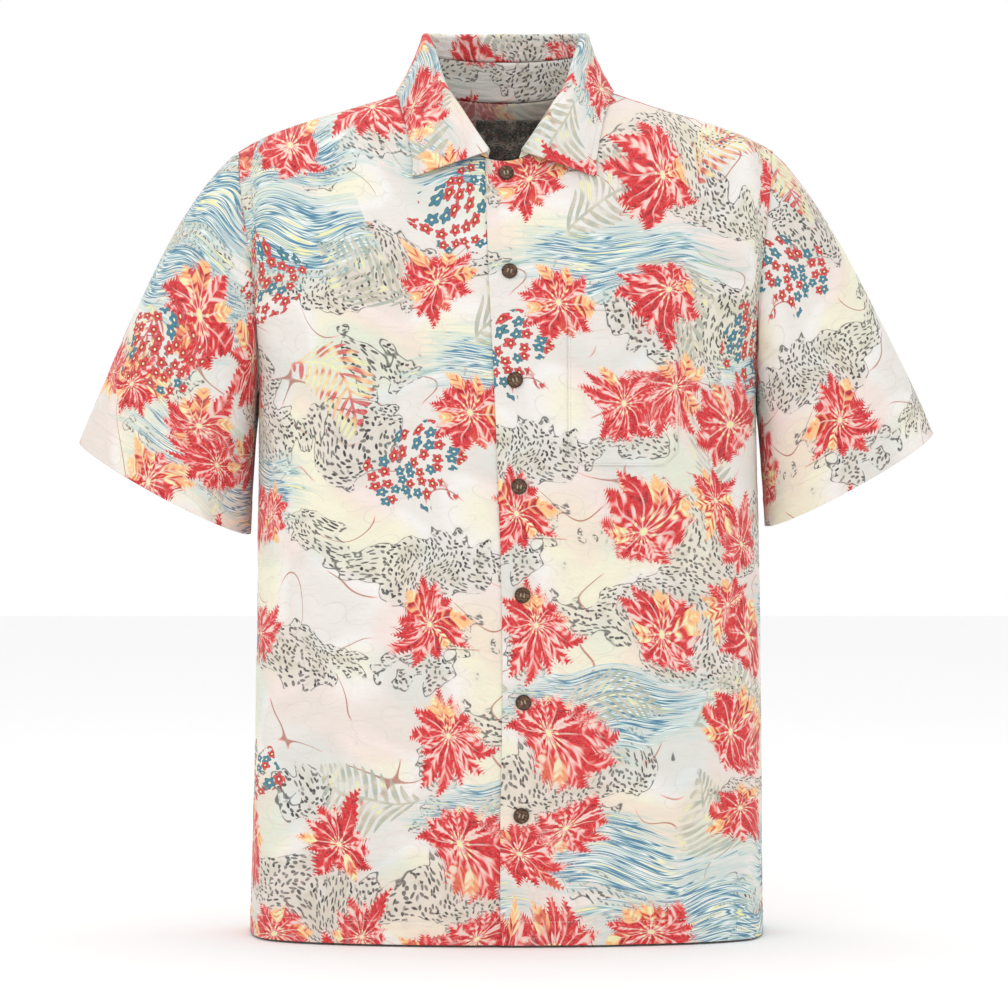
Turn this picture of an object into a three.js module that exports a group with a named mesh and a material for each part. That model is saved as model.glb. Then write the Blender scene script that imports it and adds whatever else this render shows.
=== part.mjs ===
import * as THREE from 'three';

// A short-sleeved shirt, buttoned up, in the hollow form that it has when it is worn.
// Millimetres, +Z up, front towards -Y. The origin is in the middle of the neck, level with
// the points where the neck seam crosses the shoulders. Left and right are the wearer's: left is +X.
// Angles are in degrees round the body: 0 centre front, 90 left side, 180 centre back, 270 right side.
// Levels run up the body: 0 hem, 1 underarm, 2 shoulder tip, 3 neck seam.

const { degToRad, clamp, lerp, smoothstep } = THREE.MathUtils;

// Cloth
const WALL = 1.2;
const SEAM_GAP = 0.3;
const SEAM_ANGLE = 0.09;
const SEAM_LEVEL = 0.0008;

// Body: the rings that the cloth passes through, and the soft folds between them
const UNDERARM = 1;
const SHOULDER = 2;
const NECK = 3;
const BODY_POWER = 2.7;
const bodySections = [
  { level: 0, z: -750, x: 1.4, half: 227, front: 122, back: 117 },
  { level: 0.5, z: -500, x: 2.4, half: 223, front: 121, back: 113 },
  { level: UNDERARM, z: -272, x: 1.2, half: 220, front: 128, back: 122 },
];
const shoulderRing = {
  x: -1, half: 237, front: 100, back: 97, power: 2.4, sideZ: -59, frontZ: -122, backZ: -72,
};
const neckRing = {
  x: -2, half: 78, front: 84, back: 62, power: 2.1, sideZ: 0, frontZ: -75, backZ: -9,
};
const CHEST_RISE = 200;
const shoulderRun = { x: -115, z: 72 };
const SEAM_FORWARD = 8;
const bodyFolds = [
  { angle: 31, width: 11, depth: -3.2, top: 0.9 },
  { angle: 58, width: 9, depth: 3.4, top: 1.1 },
  { angle: 108, width: 10, depth: 3.6, top: 1.0 },
  { angle: 146, width: 13, depth: -3.8, top: 1.2 },
  { angle: 184, width: 15, depth: 3.2, top: 0.9 },
  { angle: 219, width: 12, depth: -3.6, top: 1.1 },
  { angle: 254, width: 10, depth: 3.4, top: 0.9 },
  { angle: 303, width: 9, depth: 3.0, top: 1.0 },
  { angle: 332, width: 11, depth: -3.0, top: 0.8 },
];
const FOLD_FADE = 0.8;
const FOLD_RADIUS = 180;

// How finely the pieces are divided
const BODY_ROWS = 9;
const SHOULDER_ROWS = 6;
const FRONT_COLUMNS = 9;
const UNDER_COLUMNS = 8;
const BACK_COLUMNS = 22;
const YOKE_COLUMNS = 20;
const COLLAR_COLUMNS = 34;
const POCKET_COLUMNS = 6;
const LABEL_COLUMNS = 4;
const LABEL_ROWS = 3;
const pocketRows = [0.33, 0.55, 0.78, 1];
const sleeveRows = [0, 0.06, 0.16, 0.28, 0.41, 0.55, 0.7, 0.85, 1];
const standRows = [0, 0.5, 1];
const leafRows = [0, 0.5, 1, 1.25, 1.5, 1.75, 2, 2.25, 2.5, 2.75, 3];

// Small steps, round and up a surface, for finding the direction that it faces
const BODY_STEP = { angle: 0.5, level: 0.01 };
const SLEEVE_STEP = { angle: 1, v: 0.02 };
const COLLAR_STEP = { angle: 0.5, v: 0.02 };
const SEARCHES = 30;
const SEARCH_REACH = 60;

// Armholes and yoke
const ARMHOLE_STEPS = 14;
const ARMHOLE_MIDDLE = 1.5;
const ARMHOLE_HALF = 0.5;
const ARMHOLE_FRONT = 24;
const ARMHOLE_BACK = 30;
const YOKE_STEP = 4;
const armholeLevel = (turn) => ARMHOLE_MIDDLE + ARMHOLE_HALF * Math.cos(degToRad(turn));

// Fronts
const BUTTON_BAND = 18;
const UNDERLAP_END = 48;
const UNDERLAP_MIDDLE = 33;
const buttonLine = [
  { z: -639, x: 13.0 },
  { z: -542, x: 14.8 },
  { z: -450, x: 14.0 },
  { z: -357, x: 11.2 },
  { z: -266, x: 7.6 },
  { z: -173, x: 3.0 },
  { z: -87, x: 0 },
];

// Sleeves: the outer and inner corners of each hem, seen from the front
const sleeveHems = {
  left: { side: 1, outerX: 379, outerZ: -309, innerX: 231, innerZ: -391, slope: -0.92 },
  right: { side: -1, outerX: 380, outerZ: -316, innerX: 228, innerZ: -398, slope: -0.68 },
};
const HEM_DEPTH = 54;
const HEM_DIP = 8;
const leaveUnder = new THREE.Vector3(0.06, 0, -1);
const arrive = { top: new THREE.Vector3(-0.38, 0, 0.92), under: new THREE.Vector3(-0.05, 0, 1) };
const LEAVE_TOP = 0.22;
const LEAVE_UNDER = 0.33;
const ARRIVE = 0.33;
const SLEEVE_ROUND = 7;
const seamBlendBand = { from: -0.75, to: -0.2 };

// Collar: the fold's ring, its height, and where the leaf's outer edge lies on the body
const FRONT_END = 12;
const foldRing = { x: -0.5, half: 71, front: 88, back: 60, power: 2 };
const collarSections = [
  { angle: 12, foldZ: -67, bend: 1.8, stand: 0.4, edgeAngle: 26, edgeLevel: 2.31, swell: 3 },
  { angle: 22, foldZ: -50, bend: 2.0, stand: 0.42, edgeAngle: 32, edgeLevel: 2.52, swell: 4 },
  { angle: 35, foldZ: -28, bend: 2.2, stand: 0.48, edgeAngle: 42.5, edgeLevel: 2.7, swell: 4 },
  { angle: 50, foldZ: -6, bend: 2.4, stand: 0.56, edgeAngle: 55, edgeLevel: 2.81, swell: 3 },
  { angle: 62, foldZ: 20, bend: 2.5, stand: 0.6, edgeAngle: 64, edgeLevel: 2.85, swell: 1 },
  { angle: 75, foldZ: 37, bend: 2.5, stand: 0.61, edgeAngle: 76, edgeLevel: 2.88, swell: -1 },
  { angle: 90, foldZ: 43, bend: 2.6, stand: 0.62, edgeAngle: 92, edgeLevel: 2.89, swell: -3 },
  { angle: 135, foldZ: 48, bend: 2.8, stand: 0.62, edgeAngle: 136, edgeLevel: 2.88, swell: -2 },
  { angle: 180, foldZ: 50, bend: 3.0, stand: 0.62, edgeAngle: 180, edgeLevel: 2.87, swell: -2 },
];
const NECK_GAP = 0.85;
const LEAF_GAP = 0.45;
const LEAF_LIFT = 1.0;

// Pocket, label and buttons
const pocket = { left: 53, right: 147, bottom: -339, top: -207, corner: 12, lift: 0.6 };
const label = { x: 2, half: 29, top: 2.74, bottom: 2.12, lift: 0.7, thick: 0.9 };
const button = {
  radius: 6.8, thick: 2.6, holeRadius: 0.85, holeOffset: 1.5, lift: 0.6, rimSides: 20, holeSides: 8,
};

// A value that runs smoothly through the rows of a table.
function between(rows, along, name, at) {
  let i = 0;
  while (i < rows.length - 2 && at > rows[i + 1][along]) i += 1;
  const span = rows[i + 1][along] - rows[i][along];
  const slope = (k) => {
    const low = rows[Math.max(k - 1, 0)];
    const high = rows[Math.min(k + 1, rows.length - 1)];
    return (high[name] - low[name]) / (high[along] - low[along]);
  };
  const u = clamp((at - rows[i][along]) / span, 0, 1);
  const turn = u * u * (3 - 2 * u);
  const lean = span * u * (1 - u) * (slope(i) * (1 - u) - slope(i + 1) * u);
  return lerp(rows[i][name], rows[i + 1][name], turn) + lean;
}

// A point on a rounded ring of the given size, at an angle round the body.
function ring(size, angle) {
  const s = Math.sin(degToRad(angle));
  const c = Math.cos(degToRad(angle));
  const k = (Math.abs(s) ** size.power + Math.abs(c) ** size.power) ** (-1 / size.power);
  const depth = c > 0 ? size.front : size.back;
  return new THREE.Vector3(size.x + size.half * s * k, -depth * c * k, size.z);
}

// The same for a ring that is higher at its sides than at its front and back.
function slopedRing(size, angle) {
  const c = Math.cos(degToRad(angle));
  const endZ = c > 0 ? size.frontZ : size.backZ;
  return ring({ ...size, z: lerp(size.sideZ, endZ, c * c) }, angle);
}

// A curve from one point to another that leaves and arrives along the given runs.
function curve(from, fromRun, to, toRun, u) {
  return from.clone()
    .lerp(to, u * u * (3 - 2 * u))
    .addScaledVector(fromRun, u * (1 - u) ** 2)
    .addScaledVector(toRun, -u * u * (1 - u));
}

// How far the soft folds push the cloth out at a place.
function foldDepth(angle, level) {
  let depth = 0;
  for (const fold of bodyFolds) {
    const away = ((((angle - fold.angle) % 360) + 540) % 360) - 180;
    const fade = 1 - smoothstep(level, fold.top - FOLD_FADE, fold.top);
    depth += fold.depth * fade * Math.exp(-((away / fold.width) ** 2));
  }
  return depth;
}

// A point of the body's cloth below the armholes.
function trunkAt(angle, level) {
  const size = { power: BODY_POWER };
  for (const name of ['z', 'x', 'half', 'front', 'back']) {
    size[name] = between(bodySections, 'level', name, level);
  }
  return ring(size, angle);
}

// A point of the body's cloth between the underarm and the neck seam.
function shoulderAt(angle, level) {
  const chest = trunkAt(angle, UNDERARM);
  const chestRun = chest.clone().sub(trunkAt(angle, UNDERARM - BODY_STEP.level));
  chestRun.multiplyScalar(CHEST_RISE / chestRun.z);
  const top = slopedRing(shoulderRing, angle);
  const end = slopedRing(neckRing, angle);
  const side = Math.sin(degToRad(angle));
  const overShoulder = new THREE.Vector3(shoulderRun.x * Math.sign(side), 0, shoulderRun.z);
  const topRun = end.clone().sub(chest).multiplyScalar(0.5).lerp(overShoulder, side ** 4);
  return level <= SHOULDER
    ? curve(chest, chestRun, top, topRun, level - UNDERARM)
    : curve(top, topRun, end, end.clone().sub(top), level - SHOULDER);
}

// The outer face of the body's cloth. The shoulder seam, at 90, lies in front of the ridge.
function bodyAt(place, level) {
  const forward = SEAM_FORWARD * smoothstep(level, UNDERARM, SHOULDER);
  const angle = place - forward * Math.sin(degToRad(place));
  const point = level <= UNDERARM ? trunkAt(angle, level) : shoulderAt(angle, level);
  const swell = 1 + foldDepth(angle, level) / FOLD_RADIUS;
  return new THREE.Vector3(point.x * swell, point.y * swell, point.z);
}

// The direction that a surface faces at a place.
function facing(surface, u, v, stepU, stepV, limits) {
  const lowV = Math.max(v - stepV, limits[0]);
  const highV = Math.min(v + stepV, limits[1]);
  const across = surface(u + stepU, v).sub(surface(u - stepU, v));
  const along = surface(u, highV).sub(surface(u, lowV));
  return across.cross(along).normalize();
}

const bodyFacing = (angle, level) => facing(
  bodyAt, angle, level, BODY_STEP.angle, BODY_STEP.level, [0, NECK]);

// A point off the body's outer face, along the direction that it faces.
function offBody(angle, level, distance) {
  return bodyAt(angle, level).addScaledVector(bodyFacing(angle, level), distance);
}

// The angle at which the body's cloth, at a level, has the given x, near the centre front or back.
function angleAtX(x, level, centre = 0) {
  const way = centre === 0 ? 1 : -1;
  let low = centre - SEARCH_REACH * way;
  let high = centre + SEARCH_REACH * way;
  for (let i = 0; i < SEARCHES; i += 1) {
    const middle = (low + high) / 2;
    if (bodyAt(middle, level).x < x) low = middle;
    else high = middle;
  }
  return (low + high) / 2;
}

// The angle and level of the place on the body's front that is seen at x and z.
function onFront(x, z) {
  let low = 0;
  let high = NECK;
  for (let i = 0; i < SEARCHES; i += 1) {
    const middle = (low + high) / 2;
    if (bodyAt(angleAtX(x, middle), middle).z < z) low = middle;
    else high = middle;
  }
  const level = (low + high) / 2;
  return { angle: angleAtX(x, level), level };
}

// A closed wall from rows of [outer, inner] point pairs, or a tube where the rows are closed.
function wallGeometry(rows, closed = false) {
  const width = rows[0].length;
  const positions = [];
  for (const row of rows) {
    for (const [outer, inner] of row) positions.push(...outer.toArray(), ...inner.toArray());
  }
  const outer = (r, c) => 2 * (r * width + (c % width));
  const inner = (r, c) => outer(r, c) + 1;
  const index = [];
  const quad = (a, b, c, d) => index.push(a, b, c, a, c, d);
  const last = rows.length - 1;
  const columns = closed ? width : width - 1;
  for (let c = 0; c < columns; c += 1) {
    for (let r = 0; r < last; r += 1) {
      quad(outer(r, c), outer(r, c + 1), outer(r + 1, c + 1), outer(r + 1, c));
      quad(inner(r, c), inner(r + 1, c), inner(r + 1, c + 1), inner(r, c + 1));
    }
    quad(outer(0, c + 1), outer(0, c), inner(0, c), inner(0, c + 1));
    quad(outer(last, c), outer(last, c + 1), inner(last, c + 1), inner(last, c));
  }
  for (let r = 0; r < last && !closed; r += 1) {
    quad(outer(r, 0), outer(r + 1, 0), inner(r + 1, 0), inner(r, 0));
    quad(outer(r + 1, width - 1), outer(r, width - 1), inner(r, width - 1), inner(r + 1, width - 1));
  }
  const geometry = new THREE.BufferGeometry();
  geometry.setAttribute('position', new THREE.Float32BufferAttribute(positions, 3));
  geometry.setIndex(index);
  geometry.computeVertexNormals();
  return geometry;
}

const spread = (from, to, steps) => Array.from({ length: steps + 1 }, (_, i) => lerp(from, to, i / steps));

// A panel of the body: levels, the angles of its points at each level, and how deep it lies.
function bodyPanel(levels, anglesAt, depthAt = () => 0) {
  const rows = levels.map((level) => anglesAt(level).map((angle) => {
    const depth = depthAt(angle, level);
    return [offBody(angle, level, -depth), offBody(angle, level, -depth - WALL)];
  }));
  return wallGeometry(rows);
}

// The angle, from the front or the back, at which a panel ends at its side seam or armhole.
function panelEnd(level, reach) {
  const gap = reach > 0 ? -SEAM_ANGLE : SEAM_ANGLE;
  const height = (level - ARMHOLE_MIDDLE) / ARMHOLE_HALF;
  if (Math.abs(height) >= 1) return 90 + gap;
  return Math.min(90 - reach * Math.sqrt(1 - height * height), reach > 0 ? 90 + gap : Infinity);
}

const bodyLevels = spread(0, UNDERARM, BODY_ROWS);
const armholeLevels = spread(180, 0, ARMHOLE_STEPS).slice(1).map(armholeLevel);
const shoulderLevels = spread(SHOULDER, NECK, SHOULDER_ROWS).slice(1);
const frontLevels = [...bodyLevels, ...armholeLevels, ...shoulderLevels];

// The x of the button line at a level.
function lineAt(level) {
  const z = bodyAt(0, level).z;
  return between(buttonLine, 'z', 'x', clamp(z, buttonLine[0].z, buttonLine.at(-1).z));
}

// The three angles where both fronts have points: the band's edge, the buttons and the underlap's edge.
const bandAngles = (level) => [-BUTTON_BAND, 0, BUTTON_BAND].map((x) => angleAtX(lineAt(level) + x, level));

function frontLeft() {
  return bodyPanel(frontLevels, (level) => {
    const band = bandAngles(level);
    return [...band.slice(0, 2), ...spread(band[2], panelEnd(level, ARMHOLE_FRONT), FRONT_COLUMNS)];
  });
}

// The right front lies behind the left one's band, and comes level with it further on.
function frontRight() {
  const under = (angle, level) => {
    const past = lineAt(level) - BUTTON_BAND - bodyAt(angle, level).x;
    return (WALL + SEAM_GAP) * (1 - smoothstep(past, 0.01, UNDERLAP_END - BUTTON_BAND));
  };
  return bodyPanel(frontLevels, (level) => {
    const start = angleAtX(lineAt(level) - UNDERLAP_END, level);
    const middle = angleAtX(lineAt(level) - UNDERLAP_MIDDLE, level);
    const side = -panelEnd(level, ARMHOLE_FRONT);
    return [...spread(side, start, UNDER_COLUMNS), middle, ...bandAngles(level)];
  }, under);
}

function back() {
  const levels = [...bodyLevels, ...armholeLevels.slice(0, ARMHOLE_STEPS - YOKE_STEP)];
  levels[levels.length - 1] -= SEAM_LEVEL;
  return bodyPanel(levels, (level) => {
    const end = panelEnd(level, -ARMHOLE_BACK);
    return spread(end, 360 - end, BACK_COLUMNS);
  });
}

function yoke() {
  const levels = [...armholeLevels.slice(ARMHOLE_STEPS - YOKE_STEP - 1), ...shoulderLevels];
  levels[0] += SEAM_LEVEL;
  return bodyPanel(levels, (level) => {
    const end = panelEnd(level, -ARMHOLE_BACK);
    return spread(end, 360 - end, YOKE_COLUMNS);
  });
}

// The armhole's edge on the body: turn is 0 at the shoulder seam, 90 in front, 180 underarm.
function armholeAt(side, turn) {
  const sine = Math.sin(degToRad(turn));
  const reach = sine > 0 ? ARMHOLE_FRONT : ARMHOLE_BACK;
  const angle = side * (90 - reach * sine);
  return { angle, level: armholeLevel(turn) };
}

// The sleeve's outer face, from the armhole (v = 0) to the hem (v = 1).
function sleeveAt(hem, turn, v) {
  const place = armholeAt(hem.side, turn);
  const sine = Math.sin(degToRad(turn));
  const cosine = Math.cos(degToRad(turn));
  const level = clamp(place.level, UNDERARM, SHOULDER);
  const out = bodyFacing(place.angle, level);
  const before = armholeAt(hem.side, turn - 1);
  const after = armholeAt(hem.side, turn + 1);
  const edge = bodyAt(after.angle, after.level).sub(bodyAt(before.angle, before.level)).normalize();
  const clear = out.clone().cross(edge).multiplyScalar(hem.side * SEAM_GAP)
    .addScaledVector(out, 2 * SEAM_GAP * Math.max(0, -cosine));
  const from = bodyAt(place.angle, level).add(clear);
  const middle = new THREE.Vector3(hem.outerX + hem.innerX, 0, hem.outerZ + hem.innerZ).multiplyScalar(0.5);
  const to = middle.clone()
    .addScaledVector(new THREE.Vector3(hem.outerX - hem.innerX, 0, hem.outerZ - hem.innerZ), cosine / 2)
    .add(new THREE.Vector3(0, -HEM_DEPTH * sine, -HEM_DIP * sine));
  const upper = (1 + cosine) / 2;
  const leaveTop = new THREE.Vector3(1, 0, hem.slope).normalize();
  const leaveWay = leaveUnder.clone().lerp(leaveTop, upper);
  const arriveWay = arrive.under.clone().lerp(arrive.top, upper);
  for (const point of [to, leaveWay, arriveWay]) point.x *= hem.side;
  const length = from.distanceTo(to);
  const bulge = new THREE.Vector3(0, -SLEEVE_ROUND * sine, 0);
  const first = from.clone().add(bulge)
    .addScaledVector(leaveWay.normalize(), length * lerp(LEAVE_UNDER, LEAVE_TOP, upper));
  const second = to.clone().add(bulge).addScaledVector(arriveWay.normalize(), length * ARRIVE);
  return new THREE.CubicBezierCurve3(from, first, second, to).getPoint(v);
}

// Over the top of the armhole the two walls meet edge to edge, so the sleeve's faces as the body's does.
function armholeFacing(side, turn) {
  const { angle, level } = armholeAt(side, turn);
  return bodyFacing(angle, clamp(level, UNDERARM, SHOULDER));
}

const seamBlend = (turn) => (
  smoothstep(Math.cos(degToRad(turn)), seamBlendBand.from, seamBlendBand.to));

function sleeve(hem) {
  const count = 2 * ARMHOLE_STEPS;
  const surface = (turn, v) => sleeveAt(hem, turn, v);
  const rows = sleeveRows.map((v) => Array.from({ length: count }, (_, i) => {
    const turn = (hem.side * 360 * i) / count;
    const point = surface(turn, v);
    const out = facing(surface, turn, v, hem.side * SLEEVE_STEP.angle, SLEEVE_STEP.v, [0, 1]);
    if (v === 0) out.lerp(armholeFacing(hem.side, turn), seamBlend(turn)).normalize();
    return [point, point.clone().addScaledVector(out, -WALL)];
  }));
  return wallGeometry(rows, true);
}

// The neck seam, the fold and the leaf's edge at an angle round the collar.
function collarSection(angle) {
  const fromFront = 180 - Math.abs(180 - angle);
  const row = {};
  for (const name of Object.keys(collarSections[0])) {
    row[name] = between(collarSections, 'angle', name, fromFront);
  }
  const edgeAngle = angle > 180 ? 360 - row.edgeAngle : row.edgeAngle;
  const seam = bodyAt(angle, NECK);
  const upward = seam.clone().sub(bodyAt(angle, NECK - BODY_STEP.level)).normalize();
  seam.addScaledVector(upward, NECK_GAP);
  const fold = ring({ ...foldRing, z: row.foldZ }, angle);
  const depth = fold.y < 0 ? foldRing.front : foldRing.back;
  const out = new THREE.Vector3((fold.x - foldRing.x) / foldRing.half ** 2, fold.y / depth ** 2, 0);
  out.normalize();
  const rise = fold.clone().addScaledVector(out, -row.bend);
  const fall = fold.clone().addScaledVector(out, row.bend);
  return { ...row, seam, fold, out, rise, fall, edge: offBody(edgeAngle, row.edgeLevel, LEAF_LIFT) };
}

// The stand's outer face, from the neck seam (v = 0) to the leaf's seam (v = 1).
function standAt(angle, v) {
  const section = collarSection(angle);
  return section.seam.lerp(section.rise, section.stand * v);
}

// The leaf's under face: v runs to 1 up to the fold, to 2 over it and to 3 down to the edge.
function leafAt(angle, v) {
  const { seam, fold, out, rise, fall, edge, bend, stand, swell } = collarSection(angle);
  if (v <= 1) {
    const start = stand + LEAF_GAP / rise.distanceTo(seam);
    return seam.lerp(rise, lerp(start, 1, v));
  }
  if (v <= 2) {
    const turn = (v - 1) * Math.PI;
    const top = new THREE.Vector3(0, 0, bend * Math.sin(turn));
    return fold.addScaledVector(out, -bend * Math.cos(turn)).add(top);
  }
  const first = fall.clone().lerp(edge, 1 / 3).addScaledVector(out, swell);
  const second = fall.clone().lerp(edge, 2 / 3).addScaledVector(out, swell);
  return new THREE.CubicBezierCurve3(fall, first, second, edge).getPoint(v - 2);
}

function collarPiece(surface, steps) {
  const limits = [steps[0], steps.at(-1)];
  const angles = spread(FRONT_END, 360 - FRONT_END, COLLAR_COLUMNS);
  return wallGeometry(steps.map((v) => angles.map((angle) => {
    const point = surface(angle, v);
    const out = facing(surface, angle, v, COLLAR_STEP.angle, COLLAR_STEP.v, limits);
    return [point, point.clone().addScaledVector(out, -WALL)];
  })));
}

const collarStand = () => collarPiece(standAt, standRows);
const collarLeaf = () => collarPiece(leafAt, leafRows);

// The patch pocket, with its lower corners cut off, lies on the left front.
function chestPocket() {
  const height = pocket.top - pocket.bottom;
  const rises = [0, pocket.corner, ...pocketRows.map((part) => part * height)];
  return wallGeometry(rises.map((rise) => {
    const cut = Math.max(0, pocket.corner - rise);
    return spread(pocket.left + cut, pocket.right - cut, POCKET_COLUMNS).map((x) => {
      const { angle, level } = onFront(x, pocket.bottom + rise);
      return [offBody(angle, level, pocket.lift + WALL), offBody(angle, level, pocket.lift)];
    });
  }));
}

// The label lies on the inside of the yoke, at the middle of the back neck.
function neckLabel() {
  const depth = WALL + label.lift;
  return wallGeometry(spread(label.bottom, label.top, LABEL_ROWS).map((level) => {
    const from = angleAtX(label.x + label.half, level, 180);
    const to = angleAtX(label.x - label.half, level, 180);
    return spread(from, to, LABEL_COLUMNS).map((angle) => (
      [offBody(angle, level, -depth), offBody(angle, level, -depth - label.thick)]
    ));
  }));
}

function circle(radius, sides, x, y) {
  return Array.from({ length: sides }, (_, i) => {
    const turn = (2 * Math.PI * (i + 0.5)) / sides;
    return new THREE.Vector2(x + radius * Math.cos(turn), y + radius * Math.sin(turn));
  });
}

function buttonGeometry() {
  const shape = new THREE.Shape(circle(button.radius, button.rimSides, 0, 0));
  for (const [x, y] of [[-1, -1], [1, -1], [1, 1], [-1, 1]]) {
    const offset = button.holeOffset;
    const points = circle(button.holeRadius, button.holeSides, x * offset, y * offset);
    shape.holes.push(new THREE.Path(points));
  }
  return new THREE.ExtrudeGeometry(shape, { depth: button.thick, bevelEnabled: false });
}

const group = new THREE.Group();
group.name = 'shirt';

function addPiece(name, geometry, look) {
  const mesh = new THREE.Mesh(geometry, new THREE.MeshStandardMaterial(look));
  mesh.name = name;
  group.add(mesh);
  return mesh;
}

const CLOTH = { color: 0xf2e9e0, roughness: 0.85, metalness: 0 };
const LABEL_CLOTH = { color: 0x3a3836, roughness: 0.8, metalness: 0 };
const COCONUT = { color: 0x5b3a22, roughness: 0.45, metalness: 0 };
addPiece('front_left', frontLeft(), CLOTH);
addPiece('front_right', frontRight(), CLOTH);
addPiece('back', back(), CLOTH);
addPiece('yoke', yoke(), CLOTH);
addPiece('sleeve_left', sleeve(sleeveHems.left), CLOTH);
addPiece('sleeve_right', sleeve(sleeveHems.right), CLOTH);
addPiece('collar_stand', collarStand(), CLOTH);
addPiece('collar_leaf', collarLeaf(), CLOTH);
addPiece('pocket', chestPocket(), CLOTH);
addPiece('label', neckLabel(), LABEL_CLOTH);

[...buttonLine].reverse().forEach((row, i) => {
  const mesh = addPiece(`button_${i + 1}`, buttonGeometry(), COCONUT);
  const { angle, level } = onFront(row.x, row.z);
  const out = bodyFacing(angle, level);
  const up = new THREE.Vector3(0, 0, 1).addScaledVector(out, -out.z).normalize();
  const across = up.clone().cross(out);
  mesh.position.copy(offBody(angle, level, button.lift));
  mesh.quaternion.setFromRotationMatrix(new THREE.Matrix4().makeBasis(across, up, out));
});

export default group;
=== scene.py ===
import itertools
import math

import bpy
import numpy as np
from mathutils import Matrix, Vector


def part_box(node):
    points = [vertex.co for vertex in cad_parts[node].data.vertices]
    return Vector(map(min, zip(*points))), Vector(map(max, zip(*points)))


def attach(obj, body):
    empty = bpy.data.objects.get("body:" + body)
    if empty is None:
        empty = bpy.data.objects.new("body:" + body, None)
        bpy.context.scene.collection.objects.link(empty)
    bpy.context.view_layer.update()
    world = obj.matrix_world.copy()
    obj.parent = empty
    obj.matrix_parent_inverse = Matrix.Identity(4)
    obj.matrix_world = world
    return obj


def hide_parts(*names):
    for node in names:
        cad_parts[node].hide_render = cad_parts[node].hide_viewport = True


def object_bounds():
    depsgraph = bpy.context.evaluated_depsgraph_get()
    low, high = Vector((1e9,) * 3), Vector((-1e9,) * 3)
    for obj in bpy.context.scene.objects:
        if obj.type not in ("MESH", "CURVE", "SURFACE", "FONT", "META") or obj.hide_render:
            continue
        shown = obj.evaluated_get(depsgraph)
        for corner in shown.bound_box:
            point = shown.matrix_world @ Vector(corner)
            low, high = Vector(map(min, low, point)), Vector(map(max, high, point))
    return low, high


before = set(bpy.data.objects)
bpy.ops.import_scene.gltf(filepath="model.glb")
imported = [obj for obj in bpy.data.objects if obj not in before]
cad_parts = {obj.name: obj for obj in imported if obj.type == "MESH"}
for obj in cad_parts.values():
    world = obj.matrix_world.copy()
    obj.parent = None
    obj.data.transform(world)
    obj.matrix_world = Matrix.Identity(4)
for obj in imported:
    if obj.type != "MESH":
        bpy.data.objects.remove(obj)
cad_low, cad_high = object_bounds()

# The cloth's surface, in millimetres, with the same rings and sections as the solids.
# Angles are in degrees round the body: 0 centre front, 90 left side, 180 centre back, 270 right side.
# Levels run up the body: 0 hem, 1 underarm, 2 shoulder tip, 3 neck seam.
MM = 0.001


def table(names, *rows):
    """A short table, as its named columns."""
    return dict(zip(names.split(), np.array(rows, float).T))


BODY_POWER = 2.7
BODY = table(
    "level z x half front back",
    (0, -750, 1.4, 227, 122, 117),
    (0.5, -500, 2.4, 223, 121, 113),
    (1, -272, 1.2, 220, 128, 122),
)
SHOULDER_RING = dict(x=-1, half=237, front=100, back=97, power=2.4, side_z=-59, front_z=-122, back_z=-72)
NECK_RING = dict(x=-2, half=78, front=84, back=62, power=2.1, side_z=0, front_z=-75, back_z=-9)
CHEST_RISE = 200
SHOULDER_RUN = (-115, 72)
SEAM_FORWARD = 8
FOLDS = table(
    "angle width depth top",
    (31, 11, -3.2, 0.9),
    (58, 9, 3.4, 1.1),
    (108, 10, 3.6, 1.0),
    (146, 13, -3.8, 1.2),
    (184, 15, 3.2, 0.9),
    (219, 12, -3.6, 1.1),
    (254, 10, 3.4, 0.9),
    (303, 9, 3.0, 1.0),
    (332, 11, -3.0, 0.8),
)
FOLD_FADE = 0.8
FOLD_RADIUS = 180
WALL = 1.2
BISECTIONS = 18
SEAM_GAP = 0.3
SEAM_ANGLE = 0.09
SEAM_LEVEL = 0.0008
ARMHOLE_FRONT = 24
ARMHOLE_BACK = 30
YOKE_TURN = 180 * 4 / 14
BUTTON_BAND = 18
UNDERLAP_END = 48
BUTTON_LINE = table(
    "z x", (-639, 13.0), (-542, 14.8), (-450, 14.0), (-357, 11.2), (-266, 7.6), (-173, 3.0), (-87, 0)
)
SLEEVE_HEMS = {
    "left": dict(side=1, outer_x=379, outer_z=-309, inner_x=231, inner_z=-391, slope=-0.92),
    "right": dict(side=-1, outer_x=380, outer_z=-316, inner_x=228, inner_z=-398, slope=-0.68),
}
HEM_DEPTH = 54
HEM_DIP = 8
SLEEVE_ROUND = 7
FRONT_END = 12
FOLD_RING = dict(x=-0.5, half=71, front=88, back=60, power=2)
COLLAR = table(
    "angle fold_z bend stand edge_angle edge_level swell",
    (12, -67, 1.8, 0.4, 26, 2.31, 3),
    (22, -50, 2.0, 0.42, 32, 2.52, 4),
    (35, -28, 2.2, 0.48, 42.5, 2.7, 4),
    (50, -6, 2.4, 0.56, 55, 2.81, 3),
    (62, 20, 2.5, 0.6, 64, 2.85, 1),
    (75, 37, 2.5, 0.61, 76, 2.88, -1),
    (90, 43, 2.6, 0.62, 92, 2.89, -3),
    (135, 48, 2.8, 0.62, 136, 2.88, -2),
    (180, 50, 3.0, 0.62, 180, 2.87, -2),
)
NECK_GAP = 0.85
LEAF_GAP = 0.45
LEAF_LIFT = 1.0
POCKET = dict(left=53, right=147, bottom=-339, top=-207, corner=12, lift=0.75, thick=0.8)
LABEL = dict(x=2, half=29, top=2.74, bottom=2.12, lift=0.7, thick=0.6)


def point(x, y, z):
    return np.stack(np.broadcast_arrays(x, y, z), -1).astype(float)


def unit(v):
    return v / np.linalg.norm(v, axis=-1, keepdims=True)


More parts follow.
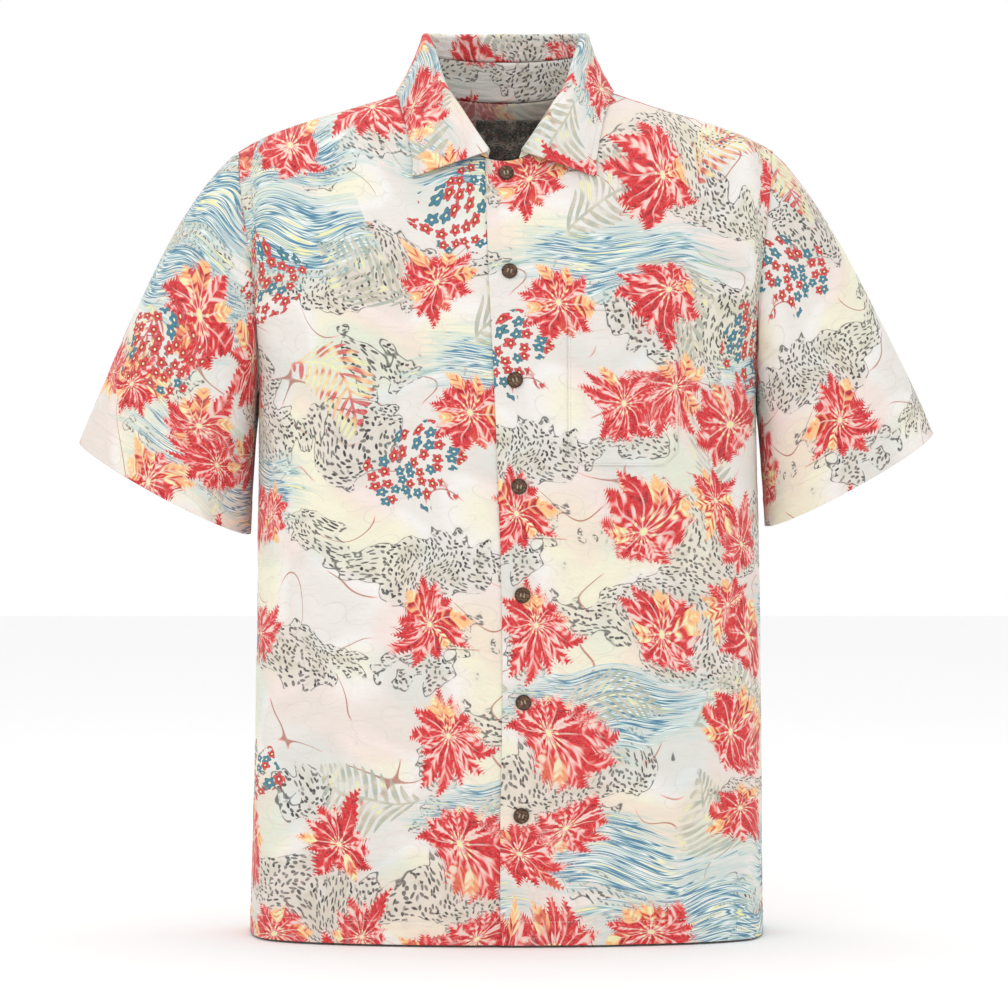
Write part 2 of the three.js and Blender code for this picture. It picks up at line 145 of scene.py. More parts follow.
def lerp(a, b, t):
    return a + (b - a) * t


def smoothstep(x, low, high):
    t = np.clip((x - low) / (high - low), 0, 1)
    return t * t * (3 - 2 * t)


def between(rows, along, name, at):
    """Values that run smoothly through the rows of a table."""
    x, y = rows[along], rows[name]
    last = len(x) - 1
    low = np.maximum(np.arange(last + 1) - 1, 0)
    high = np.minimum(np.arange(last + 1) + 1, last)
    slope = (y[high] - y[low]) / (x[high] - x[low])
    i = np.clip(np.searchsorted(x, at) - 1, 0, last - 1)
    span = x[i + 1] - x[i]
    u = np.clip((at - x[i]) / span, 0, 1)
    lean = span * u * (1 - u) * (slope[i] * (1 - u) - slope[i + 1] * u)
    return lerp(y[i], y[i + 1], u * u * (3 - 2 * u)) + lean


def ring(size, angle):
    """Points of a rounded ring, at angles round the body."""
    s, c = np.sin(np.radians(angle)), np.cos(np.radians(angle))
    power = size["power"]
    k = (np.abs(s) ** power + np.abs(c) ** power) ** (-1 / power)
    depth = np.where(c > 0, size["front"], size["back"])
    return point(size["x"] + size["half"] * s * k, -depth * c * k, size["z"])


def sloped_ring(size, angle):
    """The same for a ring that is higher at its sides than at its front and back."""
    c = np.cos(np.radians(angle))
    end_z = np.where(c > 0, size["front_z"], size["back_z"])
    return ring({**size, "z": lerp(size["side_z"], end_z, c * c)}, angle)


def curve(start, leave, end, arrive, u):
    """A curve that leaves its start and arrives at its end along the given runs."""
    u = np.asarray(u)[..., None]
    return lerp(start, end, u * u * (3 - 2 * u)) + leave * u * (1 - u) ** 2 - arrive * u * u * (1 - u)


def bezier(a, b, c, d, u):
    u = np.asarray(u)[..., None]
    return a * (1 - u) ** 3 + 3 * b * u * (1 - u) ** 2 + 3 * c * u * u * (1 - u) + d * u**3


def fold_depth(angle, level):
    """How far the soft folds push the cloth out."""
    depth = 0
    for middle, width, deep, top in zip(*FOLDS.values()):
        away = (angle - middle + 180) % 360 - 180
        depth = depth + deep * (1 - smoothstep(level, top - FOLD_FADE, top)) * np.exp(-((away / width) ** 2))
    return depth


def trunk_at(angle, level):
    size = {name: between(BODY, "level", name, level) for name in ("z", "x", "half", "front", "back")}
    return ring({**size, "power": BODY_POWER}, angle)


def shoulder_at(angle, level):
    chest = trunk_at(angle, 1.0)
    chest_run = chest - trunk_at(angle, 0.99)
    chest_run = chest_run * CHEST_RISE / chest_run[..., 2:]
    top, end = sloped_ring(SHOULDER_RING, angle), sloped_ring(NECK_RING, angle)
    side = np.sin(np.radians(angle))
    over = point(SHOULDER_RUN[0] * np.sign(side), 0, SHOULDER_RUN[1])
    top_run = lerp((end - chest) * 0.5, over, (side**4)[..., None])
    lower = curve(chest, chest_run, top, top_run, np.clip(level - 1, 0, 1))
    upper = curve(top, top_run, end, end - top, np.clip(level - 2, 0, 1))
    return np.where(level[..., None] <= 2, lower, upper)


def body_at(place, level):
    """The outer face of the body's cloth."""
    place, level = (a.astype(float) for a in np.broadcast_arrays(place, level))
    angle = place - SEAM_FORWARD * smoothstep(level, 1, 2) * np.sin(np.radians(place))
    found = np.where(level[..., None] <= 1, trunk_at(angle, level), shoulder_at(angle, level))
    found[..., :2] *= (1 + fold_depth(angle, level) / FOLD_RADIUS)[..., None]
    return found


def facing(surface, u, v, step_u, step_v, low, high):
    """The directions that a surface faces."""
    across = surface(u + step_u, v) - surface(u - step_u, v)
    along = surface(u, np.minimum(v + step_v, high)) - surface(u, np.maximum(v - step_v, low))
    return unit(np.cross(across, along))


def body_facing(angle, level):
    return facing(body_at, angle, level, 0.5, 0.01, 0, 3)


def off_body(angle, level, distance):
    return body_at(angle, level) + body_facing(angle, level) * np.asarray(distance)[..., None]


def angle_at_x(x, level, centre=0):
    """The angles at which the body's cloth has the given x, near the centre front or back."""
    x, level = np.broadcast_arrays(x, level)
    way = 1 if centre == 0 else -1
    low = np.full(x.shape, centre - 60.0 * way)
    high = np.full(x.shape, centre + 60.0 * way)
    for _ in range(BISECTIONS):
        middle = (low + high) / 2
        less = body_at(middle, level)[..., 0] < x
        low, high = np.where(less, middle, low), np.where(less, high, middle)
    return (low + high) / 2


def on_front(x, z):
    """The angles and levels of the places on the body's front that are seen at x and z."""
    x, z = np.broadcast_arrays(x, z)
    low, high = np.zeros(x.shape), np.full(x.shape, 3.0)
    for _ in range(BISECTIONS):
        middle = (low + high) / 2
        less = body_at(angle_at_x(x, middle), middle)[..., 2] < z
        low, high = np.where(less, middle, low), np.where(less, high, middle)
    level = (low + high) / 2
    return angle_at_x(x, level), level


def line_at(level):
    """The x of the button line at a level."""
    z = body_at(np.zeros_like(level), level)[..., 2]
    return between(BUTTON_LINE, "z", "x", np.clip(z, BUTTON_LINE["z"][0], BUTTON_LINE["z"][-1]))


def panel_end(level, reach):
    """The angle, from the front or the back, at which a panel ends at its side seam or armhole."""
    gap = -SEAM_ANGLE if reach > 0 else SEAM_ANGLE
    height = np.clip((level - 1.5) / 0.5, -1, 1)
    end = 90 - reach * np.sqrt(1 - height * height)
    outside = np.abs(height) >= 1
    return np.where(outside, 90 + gap, np.minimum(end, 90 + gap if reach > 0 else np.inf))


def armhole_at(side, turn):
    """The armhole's edge on the body: turn is 0 at the shoulder seam, 90 in front, 180 underarm."""
    sine = np.sin(np.radians(turn))
    reach = np.where(sine > 0, ARMHOLE_FRONT, ARMHOLE_BACK)
    return side * (90 - reach * sine), np.clip(1.5 + 0.5 * np.cos(np.radians(turn)), 1, 2)


def sleeve_at(hem, turn, v):
    """The sleeve's outer face, from the armhole (v = 0) to the hem (v = 1)."""
    turn, v = (a.astype(float) for a in np.broadcast_arrays(turn, v))
    side = hem["side"]
    sine, cosine = np.sin(np.radians(turn)), np.cos(np.radians(turn))
    out = body_facing(*armhole_at(side, turn))
    edge = unit(body_at(*armhole_at(side, turn + 1)) - body_at(*armhole_at(side, turn - 1)))
    clear = np.cross(out, edge) * side * SEAM_GAP + out * (2 * SEAM_GAP * np.maximum(0, -cosine))[..., None]
    start = body_at(*armhole_at(side, turn)) + clear
    across = np.array([hem["outer_x"] - hem["inner_x"], 0, hem["outer_z"] - hem["inner_z"]])
    middle = np.array([hem["outer_x"] + hem["inner_x"], 0, hem["outer_z"] + hem["inner_z"]]) / 2
    end = middle + across * (cosine / 2)[..., None] + point(0, -HEM_DEPTH * sine, -HEM_DIP * sine)
    upper = ((1 + cosine) / 2)[..., None]
    leave = lerp(np.array([0.06, 0, -1]), unit(np.array([1, 0, hem["slope"]])), upper)
    arrive = lerp(np.array([-0.05, 0, 1]), np.array([-0.38, 0, 0.92]), upper)
    mirror = np.array([side, 1, 1])
    end, leave, arrive = end * mirror, unit(leave * mirror), unit(arrive * mirror)
    length = np.linalg.norm(end - start, axis=-1, keepdims=True)
    bulge = point(0, -SLEEVE_ROUND * sine, 0)
    first = start + bulge + leave * length * lerp(0.33, 0.22, upper)
    second = end + bulge + arrive * length * 0.33
    return bezier(start, first, second, end, v)


def collar_section(angle):
    """The neck seam, the fold and the leaf's edge, at angles round the collar."""
    from_front = 180 - np.abs(180 - angle)
    row = {name: between(COLLAR, "angle", name, from_front) for name in COLLAR}
    edge_angle = np.where(angle > 180, 360 - row["edge_angle"], row["edge_angle"])
    neck = np.full(np.shape(angle), 3.0)
    seam = body_at(angle, neck)
    seam = seam + unit(seam - body_at(angle, neck - 0.01)) * NECK_GAP
    fold = ring({**FOLD_RING, "z": row["fold_z"]}, angle)
    depth = np.where(fold[..., 1] < 0, FOLD_RING["front"], FOLD_RING["back"])
    out = unit(point((fold[..., 0] - FOLD_RING["x"]) / FOLD_RING["half"] ** 2, fold[..., 1] / depth**2, 0))
    bend = row["bend"][..., None]
    row.update(seam=seam, fold=fold, out=out, rise=fold - out * bend, fall=fold + out * bend)
    row["edge"] = off_body(edge_angle, row["edge_level"], np.full(np.shape(angle), LEAF_LIFT))
    return row


def stand_at(angle, v):
    """The stand's outer face, from the neck seam (v = 0) to the leaf's seam (v = 1)."""
    angle, v = (a.astype(float) for a in np.broadcast_arrays(angle, v))
    row = collar_section(angle)
    return lerp(row["seam"], row["rise"], (row["stand"] * v)[..., None])


def leaf_at(angle, v):
    """The leaf's under face: v runs to 1 up to the fold, to 2 over it and to 3 down to the edge."""
    angle, v = (a.astype(float) for a in np.broadcast_arrays(angle, v))
    row = collar_section(angle)
    seam, rise, fall, edge, out = (row[name] for name in ("seam", "rise", "fall", "edge", "out"))
    height = np.linalg.norm(rise - seam, axis=-1)
    start = row["stand"] + LEAF_GAP / height
    up = lerp(seam, rise, lerp(start, 1, np.clip(v, 0, 1))[..., None])
    turn = (np.clip(v, 1, 2) - 1) * math.pi
    bend = row["bend"]
    over = row["fold"] - out * (bend * np.cos(turn))[..., None] + point(0, 0, bend * np.sin(turn))
    swell = out * row["swell"][..., None]
    first, second = lerp(fall, edge, 1 / 3) + swell, lerp(fall, edge, 2 / 3) + swell
    down = bezier(fall, first, second, edge, np.clip(v - 2, 0, 1))
    v = v[..., None]
    return np.where(v <= 1, up, np.where(v <= 2, over, down))


# How the cloth's own surface differs from those smooth forms
CLOTH = 0.8
DRAPE = table("across along depth", (70, 150, 1.5), (27, 44, 0.5), (11, 15, 0.15))


def unevenness(points):
    """Smooth noise from -1 to 1 at points in space, with one lump to a unit."""
    cell = np.floor(points).astype(np.int64)
    t = points - cell
    t = t * t * (3 - 2 * t)
    total = 0
    for corner in itertools.product((0, 1), repeat=3):
        mixed = ((cell + corner) * (73856093, 19349663, 83492791)).sum(-1) & 0xFFFFFFFF
        mixed = ((mixed ^ (mixed >> 15)) * 1274126177) & 0xFFFFFFFF
        value = ((mixed ^ (mixed >> 13)) & 0xFFFF) / 32767.5 - 1
        total = total + value * np.prod(np.where(corner, t, 1 - t), -1)
    return total


def drape(points, calm=1.0):
    """Soft unevenness that hanging cloth has, in millimetres, continuous from piece to piece."""
    found = 0
    for across, along, depth in zip(*DRAPE.values()):
        found = found + depth * unevenness(points / (across, across, along))
    return found * calm


def run_along(points, axis):
    """The distance along a grid's rows or columns, from its first point."""
    steps = np.linalg.norm(np.diff(points, axis=axis), axis=-1)
    return np.concatenate([np.zeros_like(np.take(steps, [0], axis)), np.cumsum(steps, axis)], axis)


def groove(distance, width, depth):
    return -depth * np.exp(-((distance / width) ** 2))


def puckers(distance, along, reach=9, pitch=13, depth=0.28):
    """Small ripples that a line of stitches draws up beside it."""
    wander = 1.9 * np.sin(along / 31) + 1.3 * np.sin(along / 12.7 + 2)
    return depth * np.exp(-np.abs(distance) / reach) * np.sin(2 * math.pi * along / pitch + wander)


# Building pieces
def linked(name, data):
    """A new object in the scene."""
    made = bpy.data.objects.new(name, data)
    bpy.context.scene.collection.objects.link(made)
    return made


def object_of(name, mesh, materials):
    piece = linked(name, mesh)
    for material in materials:
        mesh.materials.append(material)
    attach(piece, "root")
    return piece


def mesh_of(name, points, faces, smooth=True):
    mesh = bpy.data.meshes.new(name)
    mesh.from_pydata((points * MM).tolist(), [], faces.tolist())
    mesh.polygons.foreach_set("use_smooth", np.full(len(faces), smooth))
    return mesh


def wall(name, outer, inner, cloth, materials, closed=False):
    """A closed sheet of cloth from its outer and inner grids, with its place on the flat cut as a UV map."""
    rows, width = outer.shape[:2]
    columns = width if closed else width - 1
    last = rows - 1
    col, row = np.arange(columns), np.arange(last)
    r, c = (a.ravel() for a in np.meshgrid(row, col, indexing="ij"))
    outside, inside = 0, 1

    def quads(*corners):
        return np.stack([np.stack(np.broadcast_arrays(*corner), -1) for corner in corners], 1)

    def rim(one, other):
        """Faces that join the two sides along an edge, each from one place on it to the other."""
        return quads((*one, outside), (*other, outside), (*other, inside), (*one, inside))

    groups = [
        quads((r, c, outside), (r, c + 1, outside), (r + 1, c + 1, outside), (r + 1, c, outside)),
        quads((r, c, inside), (r + 1, c, inside), (r + 1, c + 1, inside), (r, c + 1, inside)),
        rim((0, col + 1), (0, col)),
        rim((last, col), (last, col + 1)),
    ]
    if not closed:
        groups += [rim((row, 0), (row + 1, 0)), rim((row + 1, columns), (row, columns))]
    corners = np.concatenate(groups)
    index = corners[..., 2] * rows * width + corners[..., 0] * width + corners[..., 1] % width
    mesh = mesh_of(name, np.concatenate([outer.reshape(-1, 3), inner.reshape(-1, 3)]), index)
    layer = mesh.uv_layers.new(name="cloth")
    layer.uv.foreach_set("vector", (cloth[corners[..., 0], corners[..., 1]] * MM).astype(np.float32).ravel())
    slots = np.zeros(len(corners), int)
    slots[len(r) : 2 * len(r)] = len(materials) - 1
    mesh.polygons.foreach_set("material_index", slots)
    return object_of(name, mesh, materials)


# The print's and the materials' nodes
class Value:
    """A socket of a shader that Python's arithmetic builds on."""

    def __init__(self, tree, socket):
        self.tree, self.socket = tree, socket

    def math(self, operation, *others, clamp=False):
        return node(self.tree, "ShaderNodeMath", [self, *others], operation=operation, use_clamp=clamp)

    def __add__(self, other):
        return self.math("ADD", other)

    def __sub__(self, other):
        return self.math("SUBTRACT", other)

    def __rsub__(self, other):
        return node(self.tree, "ShaderNodeMath", [other, self], operation="SUBTRACT")

    def __mul__(self, other):
        return self.math("MULTIPLY", other)

    def __truediv__(self, other):
        return self.math("DIVIDE", other)

    def __pow__(self, other):
        return self.math("POWER", other)

    def __abs__(self):
        return self.math("ABSOLUTE")

    def step(self, low, high):
        """0 below low and 1 above high, with a smooth change between them."""
        return node(self.tree, "ShaderNodeMapRange", [self, low, high], interpolation_type="SMOOTHSTEP")


def node(tree, kind, inputs=(), output=0, **settings):
    """Adds a node. Inputs are values, numbers or colours for its sockets, in order or by name."""
    made = tree.nodes.new(kind)
    for name, setting in settings.items():
        setattr(made, name, setting)
    given = inputs.items() if isinstance(inputs, dict) else enumerate(inputs)
    for key, value in given:
        if isinstance(value, Value):
            tree.links.new(value.socket, made.inputs[key])
        elif value is not None:
            made.inputs[key].default_value = value
    return Value(tree, made.outputs[output])


def vector_math(operation, *inputs, output=0):
    tree = next(i.tree for i in inputs if isinstance(i, Value))
    return node(tree, "ShaderNodeVectorMath", inputs, output, operation=operation)


def parts(vector):
    made = vector.tree.nodes.new("ShaderNodeSeparateXYZ")
    vector.tree.links.new(vector.socket, made.inputs[0])
    return [Value(vector.tree, socket) for socket in made.outputs]


def combine(tree, x, y, z=0.0):
    return node(tree, "ShaderNodeCombineXYZ", [x, y, z])


def noise_of(place, across, up=None, detail=0.0, shift=0.0, output=0):
    """Soft noise from 0 to 1 over a flat place, with so many lumps to the unit each way."""
    scale = (across, across if up is None else up, 0)
    stretched = vector_math("MULTIPLY_ADD", place, scale, (shift, shift, 0))
    inputs = {"Vector": stretched, "Scale": 1.0, "Detail": detail}
    return node(place.tree, "ShaderNodeTexNoise", inputs, output, noise_dimensions="2D")


def cells_of(place, across, up=None, randomness=1.0):
    """A loose grid of cells: the distance from a cell's centre, its chances, and the way from its centre."""
    stretched = vector_math("MULTIPLY", place, (across, across if up is None else up, 0))
    made = place.tree.nodes.new("ShaderNodeTexVoronoi")
    made.voronoi_dimensions = "2D"
    made.inputs["Scale"].default_value = 1.0
    made.inputs["Randomness"].default_value = randomness
    place.tree.links.new(stretched.socket, made.inputs["Vector"])
    distance, chances, centre = (Value(place.tree, made.outputs[i]) for i in range(3))
    return distance, parts(chances), vector_math("SUBTRACT", stretched, centre)


def random_of(x, y):
    return parts(node(x.tree, "ShaderNodeTexWhiteNoise", [combine(x.tree, x, y)], 1, noise_dimensions="2D"))


def rotated(place, angle):
    inputs = {"Vector": place, "Angle": angle}
    return node(place.tree, "ShaderNodeVectorRotate", inputs, rotation_type="Z_AXIS")


def rgba(color):
    return (*color, 1.0)


def mix(amount, low, high):
    """A colour between two colours, which are values or three numbers."""
    tree = next(i.tree for i in (amount, low, high) if isinstance(i, Value))
    low, high = (c if isinstance(c, Value) else rgba(c) for c in (low, high))
    made = tree.nodes.new("ShaderNodeMix")
    made.data_type = "RGBA"
    for key, value in (("Factor_Float", amount), ("A_Color", low), ("B_Color", high)):
        socket = next(s for s in made.inputs if s.identifier == key)
        if isinstance(value, Value):
            tree.links.new(value.socket, socket)
        else:
            socket.default_value = value
    return Value(tree, next(s for s in made.outputs if s.identifier == "Result_Color"))


def ramp(value, *stops):
    """A colour ramp through (position, colour) stops."""
    made = value.tree.nodes.new("ShaderNodeValToRGB")
    value.tree.links.new(value.socket, made.inputs[0])
    made.color_ramp.interpolation = "LINEAR"
    elements = made.color_ramp.elements
    while len(elements) < len(stops):
        elements.new(0.5)
    for element, (position, color) in zip(elements, stops):
        element.position = position
        element.color = rgba(color)
    return Value(value.tree, made.outputs[0])


# Colours of the print, as linear light
CREAM = (0.870, 0.838, 0.812)
SAND = (0.680, 0.640, 0.570)
CORAL = (0.640, 0.022, 0.030)
CRIMSON = (0.400, 0.008, 0.020)
SCARLET = (0.740, 0.070, 0.070)
PINK = (0.880, 0.290, 0.270)
APRICOT = (0.940, 0.520, 0.230)
PALE_PINK = (0.860, 0.640, 0.570)
STEEL_BLUE = (0.050, 0.170, 0.300)
SEA_BLUE = (0.130, 0.310, 0.430)
MINT = (0.460, 0.640, 0.610)
LEMON = (0.860, 0.830, 0.450)
WHITE = (0.920, 0.900, 0.870)
KHAKI = (0.520, 0.480, 0.350)
SAGE = (0.380, 0.430, 0.350)
CHARCOAL = (0.030, 0.030, 0.036)
TEAL = (0.045, 0.220, 0.270)
RUST = (0.420, 0.130, 0.085)


def scatter(place, spacing, shift, randomness, gathering, shown):
    """A loose scatter of motifs in drifts. Gives the way from the nearest motif's middle, in shares of the
    spacing, its distance, its chances, and 1 where that motif is printed."""
    at = vector_math("MULTIPLY_ADD", place, (1 / spacing[0], 1 / spacing[1], 0), (*shift, 0))
    distance, chances, away = cells_of(at, 1.0, randomness=randomness)
    middle = vector_math("SUBTRACT", at, away)
    drift = noise_of(middle, gathering) + (chances[2] - 0.5) * 0.30
    return away, distance, chances, drift.step(shown, shown + 0.001)


PETAL_WIDTH = 0.42
BARBS = 11.0


def blossom(place, spacing, shift, shown, under):
    """Serrated blossoms, with a second whorl showing between the petals, over a colour."""
    tree = place.tree
    away, distance, chances, printed = scatter(place, (spacing, spacing), shift, 0.45, 0.42, shown)
    x, y, _ = parts(away)
    radius = chances[0] * 0.14 + 0.43
    size = distance / radius
    seed = chances[1] * 97.0
    sway = noise_of(away, 3.6)
    angle = y.math("ARCTAN2", x) + (sway * 0.5 + seed)
    sector = (chances[2] * 3.0).math("FLOOR") + 10.0
    share = angle * sector / (2 * math.pi)
    apart = size * (2 * math.pi) / sector
    middle = abs(share.math("FRACT") - 0.5)
    long, warm, _ = random_of(share.math("FLOOR").math("WRAP", sector, 0.0), seed)
    along = size / (long * 0.42 + 0.58)
    beside = middle * apart
    barb = along * BARBS - beside * 14.0 + warm * 7.0
    ragged = barb.math("FRACT") * (along * 0.085 + 0.012)
    front = (1 - along).math("MAXIMUM", 0.0) ** 0.8 * (along * 1.2 + 0.24) * PETAL_WIDTH - beside - ragged
    low = (0.74 - size).math("MAXIMUM", 0.0) * 0.38 - (0.5 - middle) * apart - ragged
    inside = front.math("MAXIMUM", low)
    stroke = noise_of(combine(tree, barb * 0.9 + warm * 31, beside * 3.0 + seed), 1.0)
    radial = noise_of(combine(tree, angle * 5.5, size * 1.3), 1.0)
    tone = stroke * 0.60 + radial * 0.60 - (1 - front.step(-0.01, 0.01)) * 0.10
    color = ramp(
        tone, (0.34, CRIMSON), (0.44, CORAL), (0.60, CORAL), (0.66, SCARLET), (0.73, PINK), (0.84, PALE_PINK)
    )
    gold = warm.step(0.72, 0.78) * (along + stroke * 0.9).step(0.70, 1.15)
    golden = ramp(tone, (0.34, SCARLET), (0.46, APRICOT), (0.66, APRICOT), (0.80, LEMON))
    color = mix(gold, color, golden)
    rib = (1 - beside.step(0.004, 0.016)) * (1 - along.step(0.45, 0.75))
    color = mix(rib * 0.7, color, PALE_PINK)
    under = mix(inside.step(-0.11, 0.02) * 0.40 * printed, under, PALE_PINK)
    color = mix(inside.step(-0.004, 0.016) * printed, under, color)
    heart = (1 - abs(size - 0.15).step(0.012, 0.030)) * (1 - beside.step(0.012, 0.022))
    heart = heart.math("MAXIMUM", 1 - size.step(0.040, 0.065)) * printed
    return mix(heart * 0.9, color, LEMON)


def wash(place):
    """Cream ground with faint tints and soft scalloped clouds."""
    warm, cool, grey = parts(noise_of(place, 12.0, output=1))
    ground = mix(warm.step(0.48, 0.66) * 0.45, CREAM, LEMON)
    ground = mix(cool.step(0.50, 0.68) * 0.32, ground, MINT)
    ground = mix(grey.step(0.50, 0.68) * 0.45, ground, PALE_PINK)
    ground = mix((1 - warm).step(0.50, 0.62) * 0.40, ground, SAND)
    distance, (chance, _, _), _ = cells_of(place, 42.0, 70.0)
    line = (1 - abs(distance - 0.47).step(0.010, 0.045)) * chance.step(0.3, 0.5)
    return mix(line * 0.45 + distance.step(0.2, 0.75) * 0.14, ground, SAND)


LAGOON_SPACING = (0.210, 0.100)


def lagoons(place, under):
    """Brushed bands of blue, mint and lemon."""
    away, _, chances, printed = scatter(place, LAGOON_SPACING, (0.35, 0.15), 0.7, 0.9, 0.49)
    x, y, _ = parts(away)
    x, y = x / 0.46, y / 0.40
    seat = combine(place.tree, x + chances[0] * 50, y)
    long = noise_of(seat, 1.4, 6.0, detail=1.0)
    fine = noise_of(seat, 2.6, 24.0, shift=5.0)
    body = 1 - (x * x + y * y) + (long - 0.5) * 1.9 + (fine - 0.5) * 0.9
    color = ramp(
        long * 0.66 + fine * 0.40 + (chances[1] - 0.5) * 0.10,
        (0.36, LEMON), (0.42, WHITE), (0.455, MINT), (0.485, SEA_BLUE), (0.515, STEEL_BLUE),
        (0.545, SEA_BLUE), (0.57, MINT), (0.61, WHITE), (0.66, MINT), (0.70, SEA_BLUE), (0.75, LEMON),
    )
    edge = mix(body.step(-0.30, 0.25) * 0.5 * printed, under, MINT)
    return mix(body.step(0.30, 0.44) * printed, edge, color)


def ticks(place, pitch, long, wide, spread, drift):
    """Short brush marks, one in each cell of a loose grid, with the cell's chances."""
    _, chances, away = cells_of(place, 1 / pitch)
    turned = rotated(away, (chances[0] - 0.5) * spread + drift)
    reach = vector_math("LENGTH", vector_math("MULTIPLY", turned, (1 / long, 1 / wide, 0)), output=1)
    return 1 - reach.step(0.75, 1.05), chances


def stipples(place, under):
    """Patches of short dark marks, with broken outlines round them."""
    flow = noise_of(place, 8.5, 15.0, shift=2.0)
    ragged = noise_of(place, 52.0, detail=1.0, shift=3.0)
    patch = (flow - 0.545) * 5.0 + (ragged - 0.5) * 1.5
    mark, (_, chance, grey) = ticks(place, 0.0044, 0.56, 0.24, 1.6, (flow - 0.5) * 5.0)
    shade = mix(patch.step(-0.3, 0.4) * 0.55, under, SAND)
    shade = mix(patch.step(0.2, 0.9) * ragged.step(0.45, 0.6) * 0.35, shade, KHAKI)
    dark = mark * patch.step(-0.02, 0.08) * chance.step(0.10, 0.16)
    outline = (1 - abs(patch - 0.02).step(0.012, 0.050)) * grey.step(0.25, 0.35)
    shade = mix(dark * (grey * 0.3 + 0.7), shade, CHARCOAL)
    return mix(outline * 0.80, shade, CHARCOAL)


def sprays(place, under):
    """Leaf sprays: pairs of pointed leaflets along a bowed stem."""
    away, _, chances, printed = scatter(place, (0.115, 0.115), (0.6, 0.2), 0.5, 0.8, 0.50)
    x, y, _ = parts(rotated(away, chances[0] * 6.3))
    x, y = x / 0.42, y / 0.42
    bowed = y + x * x * 0.35
    side = abs(bowed)
    room = (1 - x * x).math("MAXIMUM", 0.0) * 0.52 + 0.02
    out = side / room
    row = x * 6.5 - side * 5.0 + bowed.math("SIGN") * 0.25
    beside = abs(row.math("FRACT") - 0.5) * 2
    lens = (1 - out).math("MAXIMUM", 0.0) ** 0.6 * (out * 1.6 + 0.25)
    inside = lens - beside
    leaflet = inside.step(0.0, 0.10) * (1 - abs(x).step(0.92, 1.0))
    stem = (1 - side.step(0.012, 0.032)) * (1 - abs(x).step(0.9, 1.0))
    soft = noise_of(away, 7.0, detail=1.0)
    shade = ramp(soft, (0.38, SAGE), (0.50, KHAKI), (0.60, SAND), (0.68, LEMON))
    warm = ramp(soft, (0.40, CORAL), (0.50, APRICOT), (0.60, LEMON))
    shade = mix(chances[1].step(0.74, 0.76), shade, warm)
    rim = (1 - inside.step(0.06, 0.22)) * out.step(0.1, 0.3)
    leaf = mix(rim * 0.5 + (1 - beside.step(0.03, 0.12)) * 0.35, shade, SAGE)
    return mix(leaflet.math("MAXIMUM", stem) * printed * 0.85, under, leaf)


def florets(place, under):
    """Small round-petalled flowers, red or teal, in bunches."""
    _, away_from, _, printed = scatter(place, (0.175, 0.150), (0.1, 0.7), 0.9, 1.0, 0.50)
    patch = (0.24 - away_from + (noise_of(place, 50.0) - 0.5) * 0.16).step(0.0, 0.01) * printed
    distance, (chance, turn, _), away = cells_of(place, 92.0, randomness=0.6)
    x, y, _ = parts(away)
    lobes = (y.math("ARCTAN2", x) * 5.0 + turn * 9.0).math("COSINE")
    inside = lobes * 0.085 + 0.43 - distance
    red = mix(distance.step(0.12, 0.34), CRIMSON, SCARLET)
    blue = mix(distance.step(0.12, 0.34), STEEL_BLUE, TEAL)
    color = mix(chance.step(0.62, 0.64), red, blue)
    color = mix(1 - inside.step(0.03, 0.07), color, CHARCOAL)
    color = mix(1 - distance.step(0.07, 0.11), color, LEMON)
    return mix(inside.step(0.0, 0.03) * patch, under, color)


def vines(place, under):
    """Thin rust-coloured strokes."""
    field = noise_of(place, 15.0, 19.0)
    shown = noise_of(place, 21.0, shift=4.0)
    line = 1 - abs(field - 0.5).step(0.0035, 0.0095)
    return mix(line * shown.step(0.50, 0.56) * 0.85, under, mix(shown.step(0.54, 0.60), PINK, RUST))


def print_group():
    """The print, as a group from a place on the flat cloth to a colour."""
    tree = bpy.data.node_groups.new("tropical_print", "ShaderNodeTree")
    tree.interface.new_socket("Place", in_out="INPUT", socket_type="NodeSocketVector")
    tree.interface.new_socket("Color", in_out="OUTPUT", socket_type="NodeSocketColor")
    start = Value(tree, tree.nodes.new("NodeGroupInput").outputs[0])
    shake = vector_math("SUBTRACT", noise_of(start, 14.0, output=1), (0.5, 0.5, 0.5))
    place = vector_math("MULTIPLY_ADD", shake, (0.035, 0.035, 0.0), start)
    color = wash(place)
    color = vines(place, color)
    color = stipples(place, color)
    color = lagoons(place, color)
    color = sprays(place, color)
    color = blossom(place, 0.088, (0.3, 0.8), 0.432, color)
    color = blossom(place, 0.096, (0.7, 0.1), 0.442, color)
    color = florets(place, color)
    end = tree.nodes.new("NodeGroupOutput")
    tree.links.new(color.socket, end.inputs[0])
    return tree


def material_of(name, roughness, **uniform):
    """A principled material, with what is the same all over set on its own sockets."""
    material = bpy.data.materials.new(name)
    material.use_nodes = True
    tree = material.node_tree
    shader = tree.nodes["Principled BSDF"]
    shader.inputs["Roughness"].default_value = roughness
    for socket, value in uniform.items():
        shader.inputs[socket.replace("_", " ")].default_value = value
    return material, tree, shader


def bump(tree, shader, height, distance, strength=1.0):
    made = tree.nodes.new("ShaderNodeBump")
    made.inputs["Strength"].default_value = strength
    made.inputs["Distance"].default_value = distance
    tree.links.new(height.socket, made.inputs["Height"])
    tree.links.new(made.outputs[0], shader.inputs["Normal"])


PRINT = print_group()
THREAD_PITCH = 0.00045
REVERSE_FADE = 0.25


